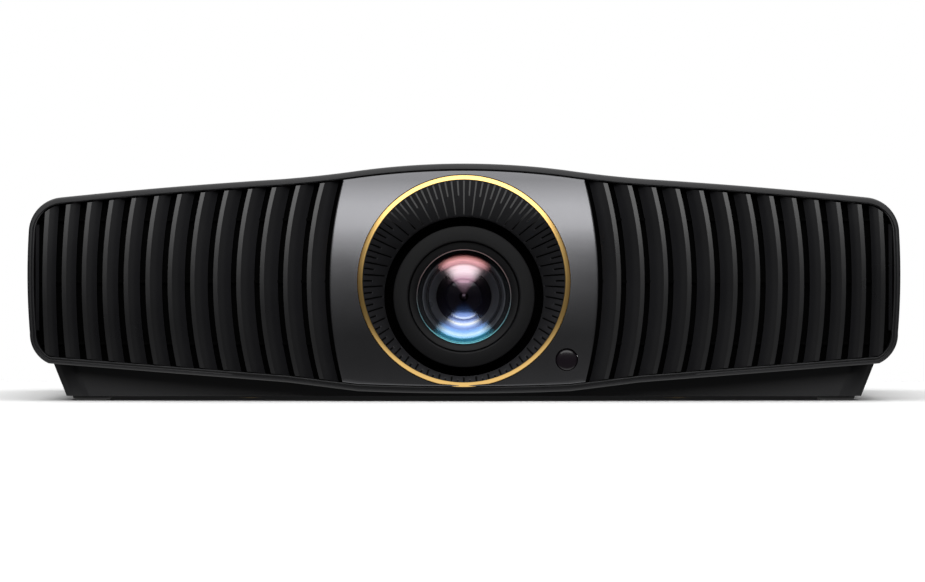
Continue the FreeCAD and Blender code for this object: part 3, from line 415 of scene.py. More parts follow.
def glass_with_painted_reflection(name, bands, side, strength, rough):
    """A coated lens surface: mostly clear, with a reflection whose tint changes from ring to ring.

    The coat's reflection is painted in place: strongest straight above the axis, or below it where side is -1,
    and fading sideways, with its tint painted ring by ring.
    """
    material, tree, shader = nodes_of(name)
    tree.nodes.remove(shader)
    radius, steep = lens_place(tree, side)
    share = math_node(tree, "DIVIDE", radius, GLASS_REACH * MM)
    tint = colour_ramp(tree, share, [(distance / GLASS_REACH, colour) for distance, colour in bands])
    wider = math_node(tree, "MULTIPLY", math_node(tree, "GREATER_THAN", share, WIDER_FROM), WIDER_BY)
    fade = add(tree, "ShaderNodeMapRange", Value=math_node(tree, "ADD", steep, wider), From_Min=FADE_STEEP,
               From_Max=1.0, To_Min=FADE_LEFT)
    fade.interpolation_type = "SMOOTHSTEP"
    shine = tree.nodes.new("ShaderNodeBsdfAnisotropic")
    shine.inputs["Roughness"].default_value = rough
    tree.links.new(tint, shine.inputs["Color"])
    clear = tree.nodes.new("ShaderNodeBsdfTransparent")
    clear.inputs["Color"].default_value = (0.93, 0.94, 0.96, 1)
    mix = add(tree, "ShaderNodeMixShader", Fac=math_node(tree, "MULTIPLY", fade.outputs["Result"], strength))
    tree.links.new(clear.outputs["BSDF"], mix.inputs[1])
    tree.links.new(shine.outputs["BSDF"], mix.inputs[2])
    tree.links.new(mix.outputs["Shader"], tree.nodes["Material Output"].inputs["Surface"])
    return material


# The centre panel's painted sheen: its tone at heights, as a share of its plain colour, lightest across the
# middle heights
PANEL_PAINTED_SHEEN = [(10, 0.66), (37, 0.62), (55, 0.93), (71, 1.14), (87, 1.55), (98, 1.53), (111, 1.23),
               (125, 0.65)]


def panel_painted_sheen():
    """Metallic paint on the centre panel, with a painted sheen: lighter across its middle heights, deeper in
    tone at the top and towards the foot.
    """
    material = grained("panel_metallic_painted_sheen", PANEL_TONE, 0.24, grain=2500, bump=0.03, metallic=0.95)
    tree = material.node_tree
    level = add(tree, "ShaderNodeMapRange", Value=coordinates(tree)["Z"], From_Max=CASE_TOP * MM)
    stops = [(height / CASE_TOP, [c * share for c in PANEL_TONE]) for height, share in PANEL_PAINTED_SHEEN]
    paint(tree, colour_ramp(tree, level.outputs["Result"], stops))
    return material


# The centre panel's metallic paint, with its sheen painted in by height
MATERIALS["panel_metallic"] = panel_painted_sheen()


RETAINER_REACH = 25


def retainer_painted_reflection():
    """The bright ring that holds the front glass, with a painted reflection: pink at its top and cyan at its
    bottom.
    """
    material = grained("retainer_painted_reflection", (0.3, 0.3, 0.32), 0.3, grain=2500, metallic=1.0)
    tree = material.node_tree
    stops = [(0, (0.14, 0.42, 0.48)), (0.5, (0.26, 0.26, 0.27)), (1, (0.95, 0.66, 0.66))]
    level = height_ramp(tree, LENS_LEVEL - RETAINER_REACH, LENS_LEVEL + RETAINER_REACH)
    paint(tree, colour_ramp(tree, level, stops))
    return material


# The coats' painted reflection tints, ring by ring, at distances from the lens's axis
PINK_PAINTED_RINGS = [
    (0, (0.3, 0.2, 0.27)), (4.0, (0.8, 0.5, 0.66)), (7.0, (0.9, 0.56, 0.72)), (9.2, (0.62, 0.38, 0.48)),
    (10.0, (0.4, 0.22, 0.3)), (11.0, (0.7, 0.46, 0.56)), (14.5, (1.0, 0.8, 0.87)), (17.4, (1, 0.74, 0.8)),
    (18.8, (0.5, 0.24, 0.27)), (20.9, (0.8, 0.4, 0.42)), (22.4, (0.4, 0.16, 0.15)),
    (23.6, (0.06, 0.015, 0.015)), (26.4, (0.05, 0.02, 0.02)),
]
BLUE_PAINTED_RINGS = [
    (0, (0, 0, 0)), (3.5, (0.01, 0.015, 0.05)), (8, (0.1, 0.2, 0.5)), (11.4, (0.3, 0.42, 0.8)),
    (12.2, (0.7, 0.8, 1.0)), (13.2, (0.08, 0.12, 0.32)), (14.6, (0.4, 0.52, 0.88)), (15.8, (0.95, 0.98, 1)),
    (17.2, (0.38, 0.52, 0.88)), (18.4, (0.2, 0.3, 0.62)), (20.2, (0.25, 0.48, 0.9)), (22, (0.6, 0.82, 1.0)),
    (23.4, (0.3, 0.62, 0.9)), (24.2, (0.02, 0.16, 0.24)), (25.4, (0.02, 0.12, 0.18)),
    (26.4, (0.14, 0.48, 0.54)),
]


def dress_cad_nodes():
    """Gives every CAD node the finish of its slot in the record, and small bevels on its sharp edges."""
    for part in frame["record"]["subparts"]:
        obj = frame["nodes"][part["node"]]
        obj.data.materials.clear()
        obj.data.materials.append(MATERIALS[part["material_slot"]])
        weld = obj.modifiers.new("weld", "WELD")
        weld.merge_threshold = 1e-6
        bevel_edges(obj, 0.15)


def bevel_edges(obj, width):
    """A small bevel on a piece's sharp edges."""
    bevel = obj.modifiers.new("edges", "BEVEL")
    bevel.width = width * MM
    bevel.segments = 2
    bevel.limit_method = "ANGLE"
    bevel.angle_limit = math.radians(35)
    bevel.harden_normals = True


def settle(obj):
    """Applies a piece's modifiers to its mesh."""
    made = bpy.data.meshes.new_from_object(obj.evaluated_get(bpy.context.evaluated_depsgraph_get()))
    obj.modifiers.clear()
    obj.data = made


def carve(obj, solid):
    """Cuts a solid, a vertex list and a face list in millimetres, out of a piece."""
    tool = linked("carver", mesh_data("carver", solid, weld=False))
    cut = obj.modifiers.new("cut", "BOOLEAN")
    cut.operation, cut.solver, cut.object = "DIFFERENCE", "EXACT", tool
    settle(obj)
    bpy.data.objects.remove(tool)


def peg_solid(centre, radius, front, back):
    """A cylinder along y round a centre given as x and z."""
    angle = full_turn(64)
    flat = np.stack([centre[0] + radius * np.cos(angle), centre[1] + radius * np.sin(angle)], 1)
    return lofted([at_depth(flat, y) for y in (front, back)], caps=True)


def box_solid(low, high):
    """A box between two corners."""
    (x0, y0, z0), (x1, y1, z1) = low, high
    return lofted([[(x0, y0, z), (x1, y0, z), (x1, y1, z), (x0, y1, z)] for z in (z0, z1)], caps=True)


def side_boxes(near, far, low, high):
    """The same box on the left and on the right, between |x| of near and far; low and high are y and z."""
    boxes = []
    for sign in (-1, 1):
        left, right = sorted((sign * near, sign * far))
        boxes.append(box_solid((left, *low), (right, *high)))
    return boxes


# ---- front frame


def outward(points):
    """Unit normals that point out of a counterclockwise outline."""
    along = np.roll(points, -1, 0) - np.roll(points, 1, 0)
    normal = np.stack([along[:, 1], -along[:, 0]], 1)
    return normal / np.linalg.norm(normal, axis=1)[:, None]


def build_frame():
    """The rim round the front: a rounded outer band, a groove, and a thin lip at the opening's edge."""
    outline, opening = case_outline(0), case_outline(RIM)
    up = outward(outline)[:, 1]
    band = 2.1 + 1.1 * np.maximum(up, 0) - 0.7 * np.maximum(-up, 0)
    sunk = 1.1
    lip = sunk - 0.75 * np.clip(1 - up * 1.4, 0, 1)
    still = np.zeros(len(outline))
    steps = []
    for a in np.linspace(0, math.pi / 2, 7):
        steps.append((1.3 * (1 - math.cos(a)) + still, 1.3 * (1 - math.sin(a)) + still))
    steps += [(np.maximum(band - 0.35, 1.32), still), (band - 0.12, still + 0.05), (band, still + 0.22),
              (band + 0.3, still + sunk - 0.15), (band + 0.45, still + sunk)]
    steps += [(RIM - 0.95 + still, still + sunk), (RIM - 0.75 + still, lip + 0.1), (RIM - 0.6 + still, lip),
              (RIM - 0.2 + still, lip), (RIM - 0.05 + still, lip + 0.12), (RIM + still, lip + 0.4),
              (RIM + still, still + 14)]

    def ring(inset, depth):
        share = (inset / RIM)[:, None]
        flat = outline + (opening - outline) * share
        return on_pillow(flat[:, 0], flat[:, 1], depth)

    rings = [at_depth(outline, FRAME_BACK)]
    rings += [ring(inset, depth) for inset, depth in steps]
    rings.append(at_depth(opening, FRAME_BACK))
    new_mesh("front_frame_shell", lofted(rings, closed_loft=True), "chassis", "case_black", ["front_frame"], 50)


# ---- centre panel and ring

WINDOW_X, WINDOW_LEVEL, WINDOW_RADIUS = 57.9, 23.7, 6.4
PANEL_CORNER = 68.0


def bowed(z):
    """The centre panel's half width at a height."""
    return PANEL_HALF - PANEL_BOW + np.sqrt(PANEL_BOW ** 2 - (z - PILLOW_LEVEL) ** 2)


def panel_outline():
    """Points round the centre panel, counterclockwise from its lower left."""
    inset = RIM + GAP
    low_half = bowed(edge_height(PANEL_CORNER, inset, False))
    high_half = bowed(edge_height(PANEL_CORNER, inset, True))
    across = np.linspace(-1, 1, 160)
    low = np.stack([across * low_half, edge_height(across * low_half, inset, False)], 1)
    high = np.stack([-across * high_half, edge_height(-across * high_half, inset, True)], 1)
    side = np.linspace(low[-1, 1], high[0, 1], 140)[1:-1]
    right = np.stack([bowed(side), side], 1)
    left = np.stack([-bowed(side[::-1]), side[::-1]], 1)
    return np.concatenate([low, right, high, left])


def panel_rows(edge):
    """Rings of points from the trim ring's hole out to the panel's edge, over it, and round the back."""
    centre = np.array([0.0, RING_LEVEL])
    ray = edge - centre
    far = np.linalg.norm(ray, axis=1)
    unit = ray / far[:, None]
    roll = 0.8
    inner = np.minimum(RING_OUTER + 0.05, far - roll - 0.3)
    rows = [(inner + (far - roll - inner) * share, 0.0) for share in (0, 0.1, 0.25, 0.4, 0.6, 0.75, 0.9)]
    for a in np.linspace(0, math.pi / 2, 7):
        rows.append((far - roll + roll * math.sin(a), roll * (1 - math.cos(a))))
    rows += [(far, 3.0), (inner, 3.0)]
    out = []
    for distance, depth in rows:
        flat = centre + unit * distance[:, None]
        out.append(on_pillow(flat[:, 0], flat[:, 1], depth))
    return out


def build_panel():
    shape = lofted(panel_rows(panel_outline()), closed_loft=True)
    panel = new_mesh("centre_panel", shape, "chassis", "panel_metallic", ["front_panel"], 50)
    carve(panel, peg_solid((WINDOW_X, WINDOW_LEVEL), WINDOW_RADIUS, FRONT - 5, FRONT + 30))
    soften(panel, 50)


def build_windows():
    """The two receiver windows for the remote control, crowned and glossy."""
    front_y = float(pillow(np.array(WINDOW_X), np.array(WINDOW_LEVEL)))
    parts = []
    for x, z, y, way, radius in ((WINDOW_X, WINDOW_LEVEL, front_y, 1, WINDOW_RADIUS - 0.15),
                                 (20.0, 88.0, REAR - 1.9, -1, 6.15)):
        section = [(0.001, 0.45), (radius * 0.35, 0.5), (radius * 0.7, 0.66), (radius * 0.88, 0.9),
                   (radius * 0.97, 1.25), (radius, 1.8), (radius, 4.0), (0.001, 4.0)]
        parts.append(turned([(r, y + way * d) for r, d in section], (x, 0, z), steps=72))
    new_mesh("receiver_windows", joined(parts), "chassis", "window_black", ["ir_windows"])


def build_ring():
    """The trim ring: a band whose face slants outwards and follows the pillow, with eased edges."""
    angle = full_turn(360)
    section = [(RING_OUTER, 11.5), (RING_OUTER, 0.75), (59.9, 0.5), (59.65, 0.32), (57.5, -0.62),
               (57.25, -0.66), (57.06, -0.5), (RING_INNER, -0.2), (RING_INNER, 11.5)]
    rings = []
    for radius, depth in section:
        x, z = radius * np.cos(angle), RING_LEVEL + radius * np.sin(angle)
        y = pillow(x, z) + depth if depth < 5 else np.full(len(x), FRONT + depth)
        rings.append(np.stack([x, y, z], 1))
    new_mesh("trim_ring", lofted(rings, closed_loft=True), "chassis", "ring_gold", ["gold_ring"], 45)


# ---- funnel with its engraved ticks

TICKS, TICK_WIDE, TICK_DEEP = 100, 0.85, 0.3
TICK_START, SHORT_END, LONG_END = 0.03, 0.43, 0.93
DIAL_RADIUS, FUNNEL_FRONT = 50, FRONT + RING_DEEP - 11.2


def tick_columns():
    """Angles with two columns on each side of every tick, and 0 for plain, 1 for long and 2 for short."""
    step = 2 * math.pi / TICKS
    half = TICK_WIDE / 2 / DIAL_RADIUS
    slope = half + 0.1 / DIAL_RADIUS
    columns = ((-slope, 0), (-half, 1), (half, 1), (slope, 0), (step * 0.35, 0), (step * 0.65, 0))
    angles, kinds = [], []
    for k in range(TICKS):
        middle = math.pi / 2 + k * step
        for offset, sunk in columns:
            angles.append(middle + offset)
            kinds.append(sunk * (1 + k % 2))
    return np.array(angles), np.array(kinds)


def funnel_inner(angle):
    """The distance from the ring's centre to the lens opening's circle along an angle."""
    drop = RING_LEVEL - LENS_LEVEL
    along = -drop * np.sin(angle)
    return along + np.sqrt(FUNNEL_RADIUS ** 2 - drop ** 2 + along ** 2)


def build_funnel():
    angle, kinds = tick_columns()
    inner = funnel_inner(angle)
    start, end = FUNNEL_FRONT, FUNNEL_BACK
    shares = [0, 0.012, 0.02, TICK_START, 0.2, SHORT_END, SHORT_END + 0.012, 0.6, 0.78, LONG_END,
              LONG_END + 0.012, 0.975, 1.0]
    long = np.hypot(RING_INNER - inner, end - start)
    inward, back = (end - start) / long, (RING_INNER - inner) / long

    def ring(radius, y):
        x, z = radius * np.cos(angle), RING_LEVEL + radius * np.sin(angle)
        return np.stack([x, y * np.ones_like(angle), z], 1)

    rings = []
    for share in shares:
        on_long, on_short = TICK_START <= share <= LONG_END, TICK_START <= share <= SHORT_END
        deep = TICK_DEEP * (((kinds == 1) & on_long) | ((kinds == 2) & on_short))
        radius = RING_INNER - 0.05 + (inner - RING_INNER) * share + deep * inward
        rings.append(ring(radius, start + (end - start) * share + deep * back))
    rings += [ring(inner - 0.1, end + 0.35), ring(inner, end + 1.2), ring(inner, end + 5),
              ring(inner + 1.4, end + 5), ring(inner + 2.4, end - 1), ring(RING_INNER - 0.05, start + 2.4)]
    shape = lofted(rings, closed_loft=True)
    funnel = new_mesh("funnel_ticked", shape, "chassis", "funnel_black", ["lens_funnel"], 35)
    # The ticks get a second material: a painted highlight at the top of the dial, painted shade below
    funnel.data.materials.append(tick_painted_light())
    give_ticks_painted_light(funnel)


def give_ticks_painted_light(funnel):
    """Gives the sunk faces, which lie behind the funnel's plain slope, the ticks' painted highlight and shade.
    """
    for face in funnel.data.polygons:
        points = np.array([funnel.data.vertices[i].co for i in face.vertices]) / MM
        middle = points.mean(0)
        angle = math.atan2(middle[2] - RING_LEVEL, middle[0])
        inner = float(funnel_inner(np.array(angle)))
        radius = math.hypot(middle[0], middle[2] - RING_LEVEL)
        start, end = FUNNEL_FRONT, FUNNEL_BACK
        long = math.hypot(RING_INNER - inner, end - start)
        off = ((middle[1] - start) * (RING_INNER - inner) - (RING_INNER - radius) * (end - start)) / long
        if TICK_DEEP * 0.8 < off < TICK_DEEP * 1.5 and middle[1] < end - 0.2:
            face.material_index = 1


# ---- louvres


def slat_reach(k, z, lead):
    """How far along the k-th slat's outer face the surface lead mm behind the pillow lies, at heights z."""
    x0 = slat_start(k)
    y0 = pillow(x0, PILLOW_LEVEL)
    reach = np.zeros_like(z)
    for _ in range(12):
        x = x0 - reach * math.cos(SLAT_ANGLE)
        reach = (pillow(x, z) + lead - y0) / math.sin(SLAT_ANGLE)
    return reach


def slat_start(k):
    return SLAT_FIRST + SLAT_PITCH * k - SLAT_SHRINK * k ** 3


def slat_line(k, z, lead):
    """The x of the k-th slat's outer face at heights z; the outer slats bend less than the inner ones."""
    level = slat_reach(k, np.full_like(z, PILLOW_LEVEL), lead)
    bend = SLAT_BEND - BEND_LOSS * (k / SLATS) ** 3
    reach = level + bend * (slat_reach(k, z, lead) - level)
    return slat_start(k) - reach * math.cos(SLAT_ANGLE)


def slat_edge(k, lead, shift, trim, rows):
    """One long edge of a slat: it ends at the frame's opening, less trim at both ends."""
    inset = RIM + 0.1
    limit = CASE_HALF - RIM - 0.4
    low, high = 20.0, 115.0
    for _ in range(4):
        ends = np.array([low, high])
        x = np.clip(slat_line(k, ends, lead) - shift, 0, limit)
        low = float(edge_height(x[0], inset, False)) + trim
        high = float(edge_height(x[1], inset, True)) - trim * 1.6
    z = np.linspace(low, high, rows)
    x = np.clip(slat_line(k, z, lead) - shift, 0, limit)
    return on_pillow(x, z, lead)


def slat(k):
    """One slat of the right louvre: a narrow land on the pillow and a broad face that recedes inwards."""
    rows = 44
    deep = LOUVRE_DEEP - DEPTH_LOSS * (k / SLATS) ** 2
    thick = SLAT_THICK / math.sin(SLAT_ANGLE)
    eased = 0.22
    edges = [
        slat_edge(k, eased, 0, 0.5, rows), slat_edge(k, 0, eased, 0.5, rows),
        slat_edge(k, 0, thick - eased, 0.5, rows), slat_edge(k, eased, thick, 0.5, rows),
        slat_edge(k, deep, thick, 0, rows), slat_edge(k, deep, 0, 0, rows),
    ]
    rings = [np.stack([edge[i] for edge in edges]) for i in range(rows)]
    return lofted(rings, caps=True)


def end_slat():
    """The sliver of one more slat that shows beside the frame."""
    z = np.linspace(40, 100, 30)
    section = [(240.5, 5.4), (242.4, 3.9), (242.4, 9), (240.5, 9)]
    rings = []
    for level in z:
        rings.append([(x, float(pillow(np.array(x), np.array(level))) + deep, level) for x, deep in section])
    return lofted(rings, caps=True)


def louvre_rib(level):
    """A thin bar behind the slats that ties them together."""
    x = np.linspace(78, 240, 60)
    y = pillow(x, level)
    corners = ((6.4, 0), (8.8, 0), (8.8, 1.4), (6.4, 1.4))
    section = np.stack([np.stack([x, y + dy, np.full(len(x), level + dz)], 1) for dy, dz in corners], 1)
    return lofted(list(section), caps=True)


def mark_depth(obj):
    """Stores how far each point lies behind the pillow, as a share of the louvre's depth."""
    points = np.empty(len(obj.data.vertices) * 3)
    obj.data.vertices.foreach_get("co", points)
    x, y, z = points.reshape(-1, 3).T / MM
    share = np.clip((y - pillow(x, z)) / LOUVRE_DEEP, 0, 1)
    layer = obj.data.attributes.new("depth", "FLOAT", "POINT")
    layer.data.foreach_set("value", share)


def build_louvres():
    slats = joined([slat(k) for k in range(SLATS)] + [end_slat()])
    ribs = joined([louvre_rib(z) for z in RIB_LEVELS])
    vertices, faces = joined([slats, ribs])
    for side, sign in (("right", 1), ("left", -1)):
        # The slats' material has painted light, lighter with depth behind the pillow
        louvre = new_mesh(f"{side}_louvre_slats", (vertices * np.array([sign, 1, 1]), faces), "chassis",
                          "louvre_black", [f"{side}_louvre"], 25, louvre_painted_light())
        # The ribs take the near-black matte as painted shade, so they stay dark behind the slats
        louvre.data.materials.append(MATERIALS["mesh_black"])
        for face in louvre.data.polygons:
            if face.vertices[0] >= len(slats[0]):
                face.material_index = 1
        mark_depth(louvre)


def build_dust_and_shade_sheets():
    """The mesh behind each louvre, from the centre panel to the frame, and painted-shade sheets in the side and
    rear vents.
    """
    inset = RIM + 0.05
    sheets = []
    for sign in (1, -1):
        rings = []
        for x in np.linspace(66, 242.0, 60):
            low, high = float(edge_height(x, inset, False)), float(edge_height(x, inset, True))
            z = np.linspace(low, high, 20)
            front, back = [on_pillow(np.full(len(z), sign * x), z, deep) for deep in (9.6, 10.2)]
            rings.append(np.concatenate([front, back[::-1]]))
        sheets.append(lofted(rings, caps=True))
    # The sheets in the side and rear vents are near-black painted shade that keeps light from showing through
    sheets += side_boxes(*SIDE_SHADE_SHEET) + [box_solid(*REAR_SHADE_SHEET)]
    new_mesh("dust_and_shade_sheets", joined(sheets), "chassis", "mesh_black", ["dust_meshes"], 30)


# ---- lens


def lens_piece(name, profile, body, slot, replaces=(), smooth=30, steps=200, material=None):
    """A lathe shape on the lens axis from (radius, mm behind the lens's front) points."""
    shape = turned([(radius, LENS_FRONT + deep) for radius, deep in profile], (0, 0, LENS_LEVEL), "y", steps)
    return new_mesh(name, shape, body, slot, replaces, smooth, material)


def cap(radius, edge, rise, count):
    """Points from the axis out along a spherical cap whose apex is rise in front of its edge."""
    sphere = (radius ** 2 + rise ** 2) / (2 * abs(rise))
    r = np.linspace(0.001, radius, count)
    sag = sphere - np.sqrt(sphere ** 2 - r ** 2)
    return [(a, edge - rise + math.copysign(b, rise)) for a, b in zip(r, sag)]


def build_barrel():
    shell = [(31.7, 1.2), (31.8, 0.4), (32.4, 0), (39.3, 0), (39.95, 0.3), (40.2, 0.95), (40.2, 4), (36, 4),
             (36, 62), (32, 62), (32, 111), (20, 111), (20, 105), (28.5, 105), (28.5, 60), (31.5, 60),
             (31.5, 1.5)]
    lens_piece("barrel_body", shell, "lens", "lens_black", ["lens_barrel"])
    lens_piece("light_baffle", [(36.05, 24.6), (50, 24.6), (50, 25.4), (36.05, 25.4)], "lens", "mesh_black")


def build_focus_cell():
    """The front cell: a sloping bezel, the bright retainer, and the stepped rings seen through the glass."""
    shell = [(31.1, 3.3), (30.8, 3.1), (29.4, 3.3), (27.6, 4.3), (27.2, 4.7), (26.85, 4.5), (26.55, 4.55),
             (26.45, 5.0), (26.4, 6), (26.4, 13.6), (24.2, 13.8), (23.7, 13.4), (22.9, 13.4), (22.6, 13.8),
             (21.8, 14.6), (21.6, 16.4), (20.2, 16.6), (20.0, 15.6), (19.6, 15.4), (16.2, 18.6), (15.8, 19.4),
             (15.8, 23), (20, 23), (31.1, 19.8)]
    cell = lens_piece("focus_cell_rings", shell, "focus_cell", "lens_black", ["focus_cell"], smooth=28)
    cell.data.materials.append(grained("cell_satin", (0.042, 0.042, 0.045), 0.3, grain=2500, specular=0.7))
    # The retainer carries a painted reflection, pink at its top and cyan at its bottom
    cell.data.materials.append(retainer_painted_reflection())
    for face in cell.data.polygons:
        x, y, z = face.center / MM
        radius = math.hypot(x, z - LENS_LEVEL)
        if y < LENS_FRONT + 19.5 and (15.9 < radius < 20 or 21.7 < radius < 23.8):
            face.material_index = 1
        if y < LENS_FRONT + 6 and 26.3 < radius < 27:
            face.material_index = 2


def build_glass():
    edge = 9.2
    shape = cap(26.3, edge, 5.0, 28) + cap(26.3, edge + 0.5, -4.6, 28)[::-1]
    # The front element's coats are painted reflections: pink above the axis on its front face, blue below it on
    # its back face
    glass = lens_piece("front_element", shape, "focus_cell", "lens_glass", ["front_glass"], 60, 160,
                       glass_with_painted_reflection("pink_painted_reflection", PINK_PAINTED_RINGS, 1, 0.4, 0.12))
    glass.data.materials.append(glass_with_painted_reflection("blue_painted_reflection", BLUE_PAINTED_RINGS, -1, 0.5, 0.1))
    for face in glass.data.polygons:
        if face.center.y > (LENS_FRONT + edge + 0.25) * MM:
            face.material_index = 1
    second = cap(20.4, 38, 4, 20) + [(20.4, 46), (0.001, 46)]
    lens_piece("zoom_element", second, "zoom_cell", "lens_glass", ["zoom_glass"], smooth=50)
    bead = cap(2.6, 33.5, 1.2, 12) + [(2.6, 33.8), (0.001, 33.8)]
    lens_piece("inner_bead", bead, "zoom_cell", "lens_glass", smooth=50, steps=64,
               material=grained("bead_coat", (0.1, 0.075, 0.09), 0.2, bump=0.0, metallic=1.0))


def build_grip_rings():
    for name, front in (("focus", 6.0), ("zoom", 30.0)):
        f, back = LENS_FRONT + front, LENS_FRONT + front + 18
        profile = [(36.1, f), (39.2, f), (39.8, f + 0.5), (40, f + 1.2), (40, f + 2.2), (40, f + 2.5, "cut"),
                   (40, back - 2.5, "cut"), (40, back - 2.2), (40, back - 1.2), (39.8, back - 0.5),
                   (39.2, back), (36.1, back)]
        new_mesh(f"{name}_grip", fluted(profile, 60, 0.8, (0, 0, LENS_LEVEL), "y"), f"{name}_ring",
                 "lens_black", [f"{name}_ring"], 25)


# ---- top cover and its hatch

DOOR_HALF, DOOR_FRONT, DOOR_REAR = 44.0, -118.0, -62.0
WELL_FLOOR = 108.9
PIN_Y, PIN_LEVEL = -59.0, 131.7
DIAL_X, DIAL_Y, DIAL_LOW = 26, -72, 106.0


def cover_path(inset, ends):
    """The outline's stretch over the cover, from its lower right edge to its lower left one."""
    path = case_outline(inset)[ends[0]:ends[1]]
    path[:, 1] = np.maximum(path[:, 1], COVER_LOW)
    return path


def build_cover():
    outline = case_outline(0)
    above = np.nonzero(outline[:, 1] > COVER_LOW)[0]
    ends = (above[0] - 1, above[-1] + 2)
    turn = 2.2
    sections = [(WALL, COVER_FRONT), (0.35, COVER_FRONT), (0.1, COVER_FRONT + 0.1), (0, COVER_FRONT + 0.35)]
    sections += [(0, y) for y in np.linspace(COVER_FRONT + 2, REAR - turn - 0.2, 12)]
    for a in np.linspace(0, math.pi / 2, 8):
        sections.append((turn * (1 - math.cos(a)), REAR - turn + turn * math.sin(a)))
    sections.append((WALL, REAR))
    rings = []
    for inset, y in sections:
        rings.append(at_depth(cover_path(inset, ends), y))
    vertices, faces = lofted(rings, closed_rings=False, closed_loft=True)
    count = len(rings[0])
    faces.append(tuple(i * count for i in range(len(rings)))[::-1])
    faces.append(tuple(i * count + count - 1 for i in range(len(rings))))
    cover = new_mesh("cover_shell", (vertices, faces), "chassis", "case_black", ["top_cover"])
    rooms = [box_solid((-DOOR_HALF - 0.5, DOOR_FRONT - 0.5, 118), (DOOR_HALF + 0.5, DOOR_REAR + 0.5, 140)),
             box_solid((-16, DOOR_REAR - 1, 118), (16, DOOR_REAR + 6.2, 141)),
             box_solid((240, KEY_Y - 26, KEY_LEVEL - 13), (252, KEY_Y + 26, KEY_LEVEL + 13))]
    for room in rooms + side_boxes(*SIDE_VENT):
        carve(cover, room)
    bevel_edges(cover, 0.35)
    settle(cover)
    soften(cover, 35)


def build_well_walls():
    """The four walls of the shift well, from its floor up into the cover's thickness."""
    reach, thick, into_cover = DOOR_HALF + 0.9, 1.2, 1.2
    ends = [(DOOR_FRONT - 0.9 - thick, DOOR_FRONT - 0.9), (DOOR_REAR + 7, DOOR_REAR + 7 + thick)]
    solids = []
    for front, back in ends:
        rings = []
        for x in np.linspace(-reach - thick, reach + thick, 25):
            top = float(roof(x)) - into_cover
            rings.append([(x, front, WELL_FLOOR), (x, back, WELL_FLOOR), (x, back, top), (x, front, top)])
        solids.append(lofted(rings, caps=True))
    top = float(roof(reach + thick)) - into_cover
    solids += side_boxes(reach, reach + thick, (ends[0][1], WELL_FLOOR), (ends[1][0], top))
    new_mesh("well_walls", joined(solids), "chassis", "case_black", smooth=30)


def door_grid():
    """The x and y lines of the hatch's plate, close together at its rolled edges and grip ridges."""
    roll = 0.6
    turn = [(roll * (1 - math.sin(a)), roll * (1 - math.cos(a))) for a in np.linspace(0, math.pi / 2, 5)]
    edge_in = [t[0] for t in turn][::-1]
    x = np.concatenate([-DOOR_HALF + np.array(edge_in), np.linspace(-DOOR_HALF + 1.2, DOOR_HALF - 1.2, 41),
                        DOOR_HALF - np.array(edge_in)[::-1]])
    y_rear = DOOR_REAR - 0.4
    ridges = []
    for k in range(5):
        start = DOOR_FRONT + 4 + 2.4 * k
        ridges += [start, start + 0.35, start + 0.85, start + 1.2]
    y = np.concatenate([DOOR_FRONT + np.array(edge_in), ridges, np.linspace(DOOR_FRONT + 18, y_rear - 1.2, 14),
                        y_rear - np.array(edge_in)[::-1]])
    return x, y, y_rear, roll


def build_door():
    """The hatch: a plate that follows the roof, with five grip ridges, its hinge arm and its knuckle."""
    x, y, y_rear, roll = door_grid()
    grid_x, grid_y = np.meshgrid(x, y, indexing="ij")
    near = np.minimum(np.minimum(DOOR_HALF - abs(grid_x), grid_y - DOOR_FRONT), y_rear - grid_y)
    drop = roll - np.sqrt(np.maximum(roll ** 2 - np.maximum(roll - near, 0) ** 2, 0))
    along = grid_y - DOOR_FRONT - 4
    phase = np.mod(along, 2.4)
    on = (along > -0.01) & (along < 12) & (abs(grid_x) < 20) & (phase > 0.3) & (phase < 0.9)
    top = roof(grid_x) - drop - 0.35 * on
    low = roof(grid_x) - WALL
    rows, columns = grid_x.shape
    upper = np.stack([grid_x, grid_y, top], 2).reshape(-1, 3)
    lower = np.stack([grid_x, grid_y, low], 2).reshape(-1, 3)
    quads = [(i * columns + j, (i + 1) * columns + j, (i + 1) * columns + j + 1, i * columns + j + 1)
             for i in range(rows - 1) for j in range(columns - 1)]
    size = rows * columns
    faces = quads + [tuple(v + size for v in quad[::-1]) for quad in quads]
    border = list(range(columns)) + [(i + 1) * columns - 1 for i in range(1, rows)]
    border += [(rows - 1) * columns + j for j in range(columns - 2, -1, -1)]
    border += [i * columns for i in range(rows - 2, 0, -1)]
    for a, b in zip(border, border[1:] + border[:1]):
        faces.append((a, b, b + size, a + size))
    plate = (np.concatenate([upper, lower]), faces)
    arm = box_solid((-12, DOOR_REAR - 4, PIN_LEVEL - 1.6), (12, PIN_Y, PIN_LEVEL + 1.5))
    knuckle = turned([(1.08, -12), (2.2, -12), (2.4, -11.7), (2.4, 11.7), (2.2, 12), (1.08, 12)],
                     (0, PIN_Y, PIN_LEVEL), "x", 48)
    new_mesh("hatch_panel", joined([plate, arm, knuckle]), "shift_door", "case_black", ["shift_door"], 35)


def build_dials():
    low = DIAL_LOW
    profile = [(0.001, low - 12), (3, low - 12), (3, low + 3.4), (11.2, low + 3.4), (12, low + 4),
               (12, low + 4.6), (12, low + 4.9, "cut"), (12, low + 10.6, "cut"), (12, low + 10.9),
               (11.7, low + 11.5), (11, low + 12), (8.6, low + 12), (8.2, low + 11.5), (3.6, low + 11.5),
               (3.2, low + 11.9), (0.001, low + 11.9)]
    for name, x in (("vertical", -DIAL_X), ("horizontal", DIAL_X)):
        new_mesh(f"{name}_thumb_wheel", fluted(profile, 36, 0.6, (x, DIAL_Y, 0), "z"), f"{name}_dial",
                 "key_black", [f"{name}_dial"], 25)


# ---- keypad


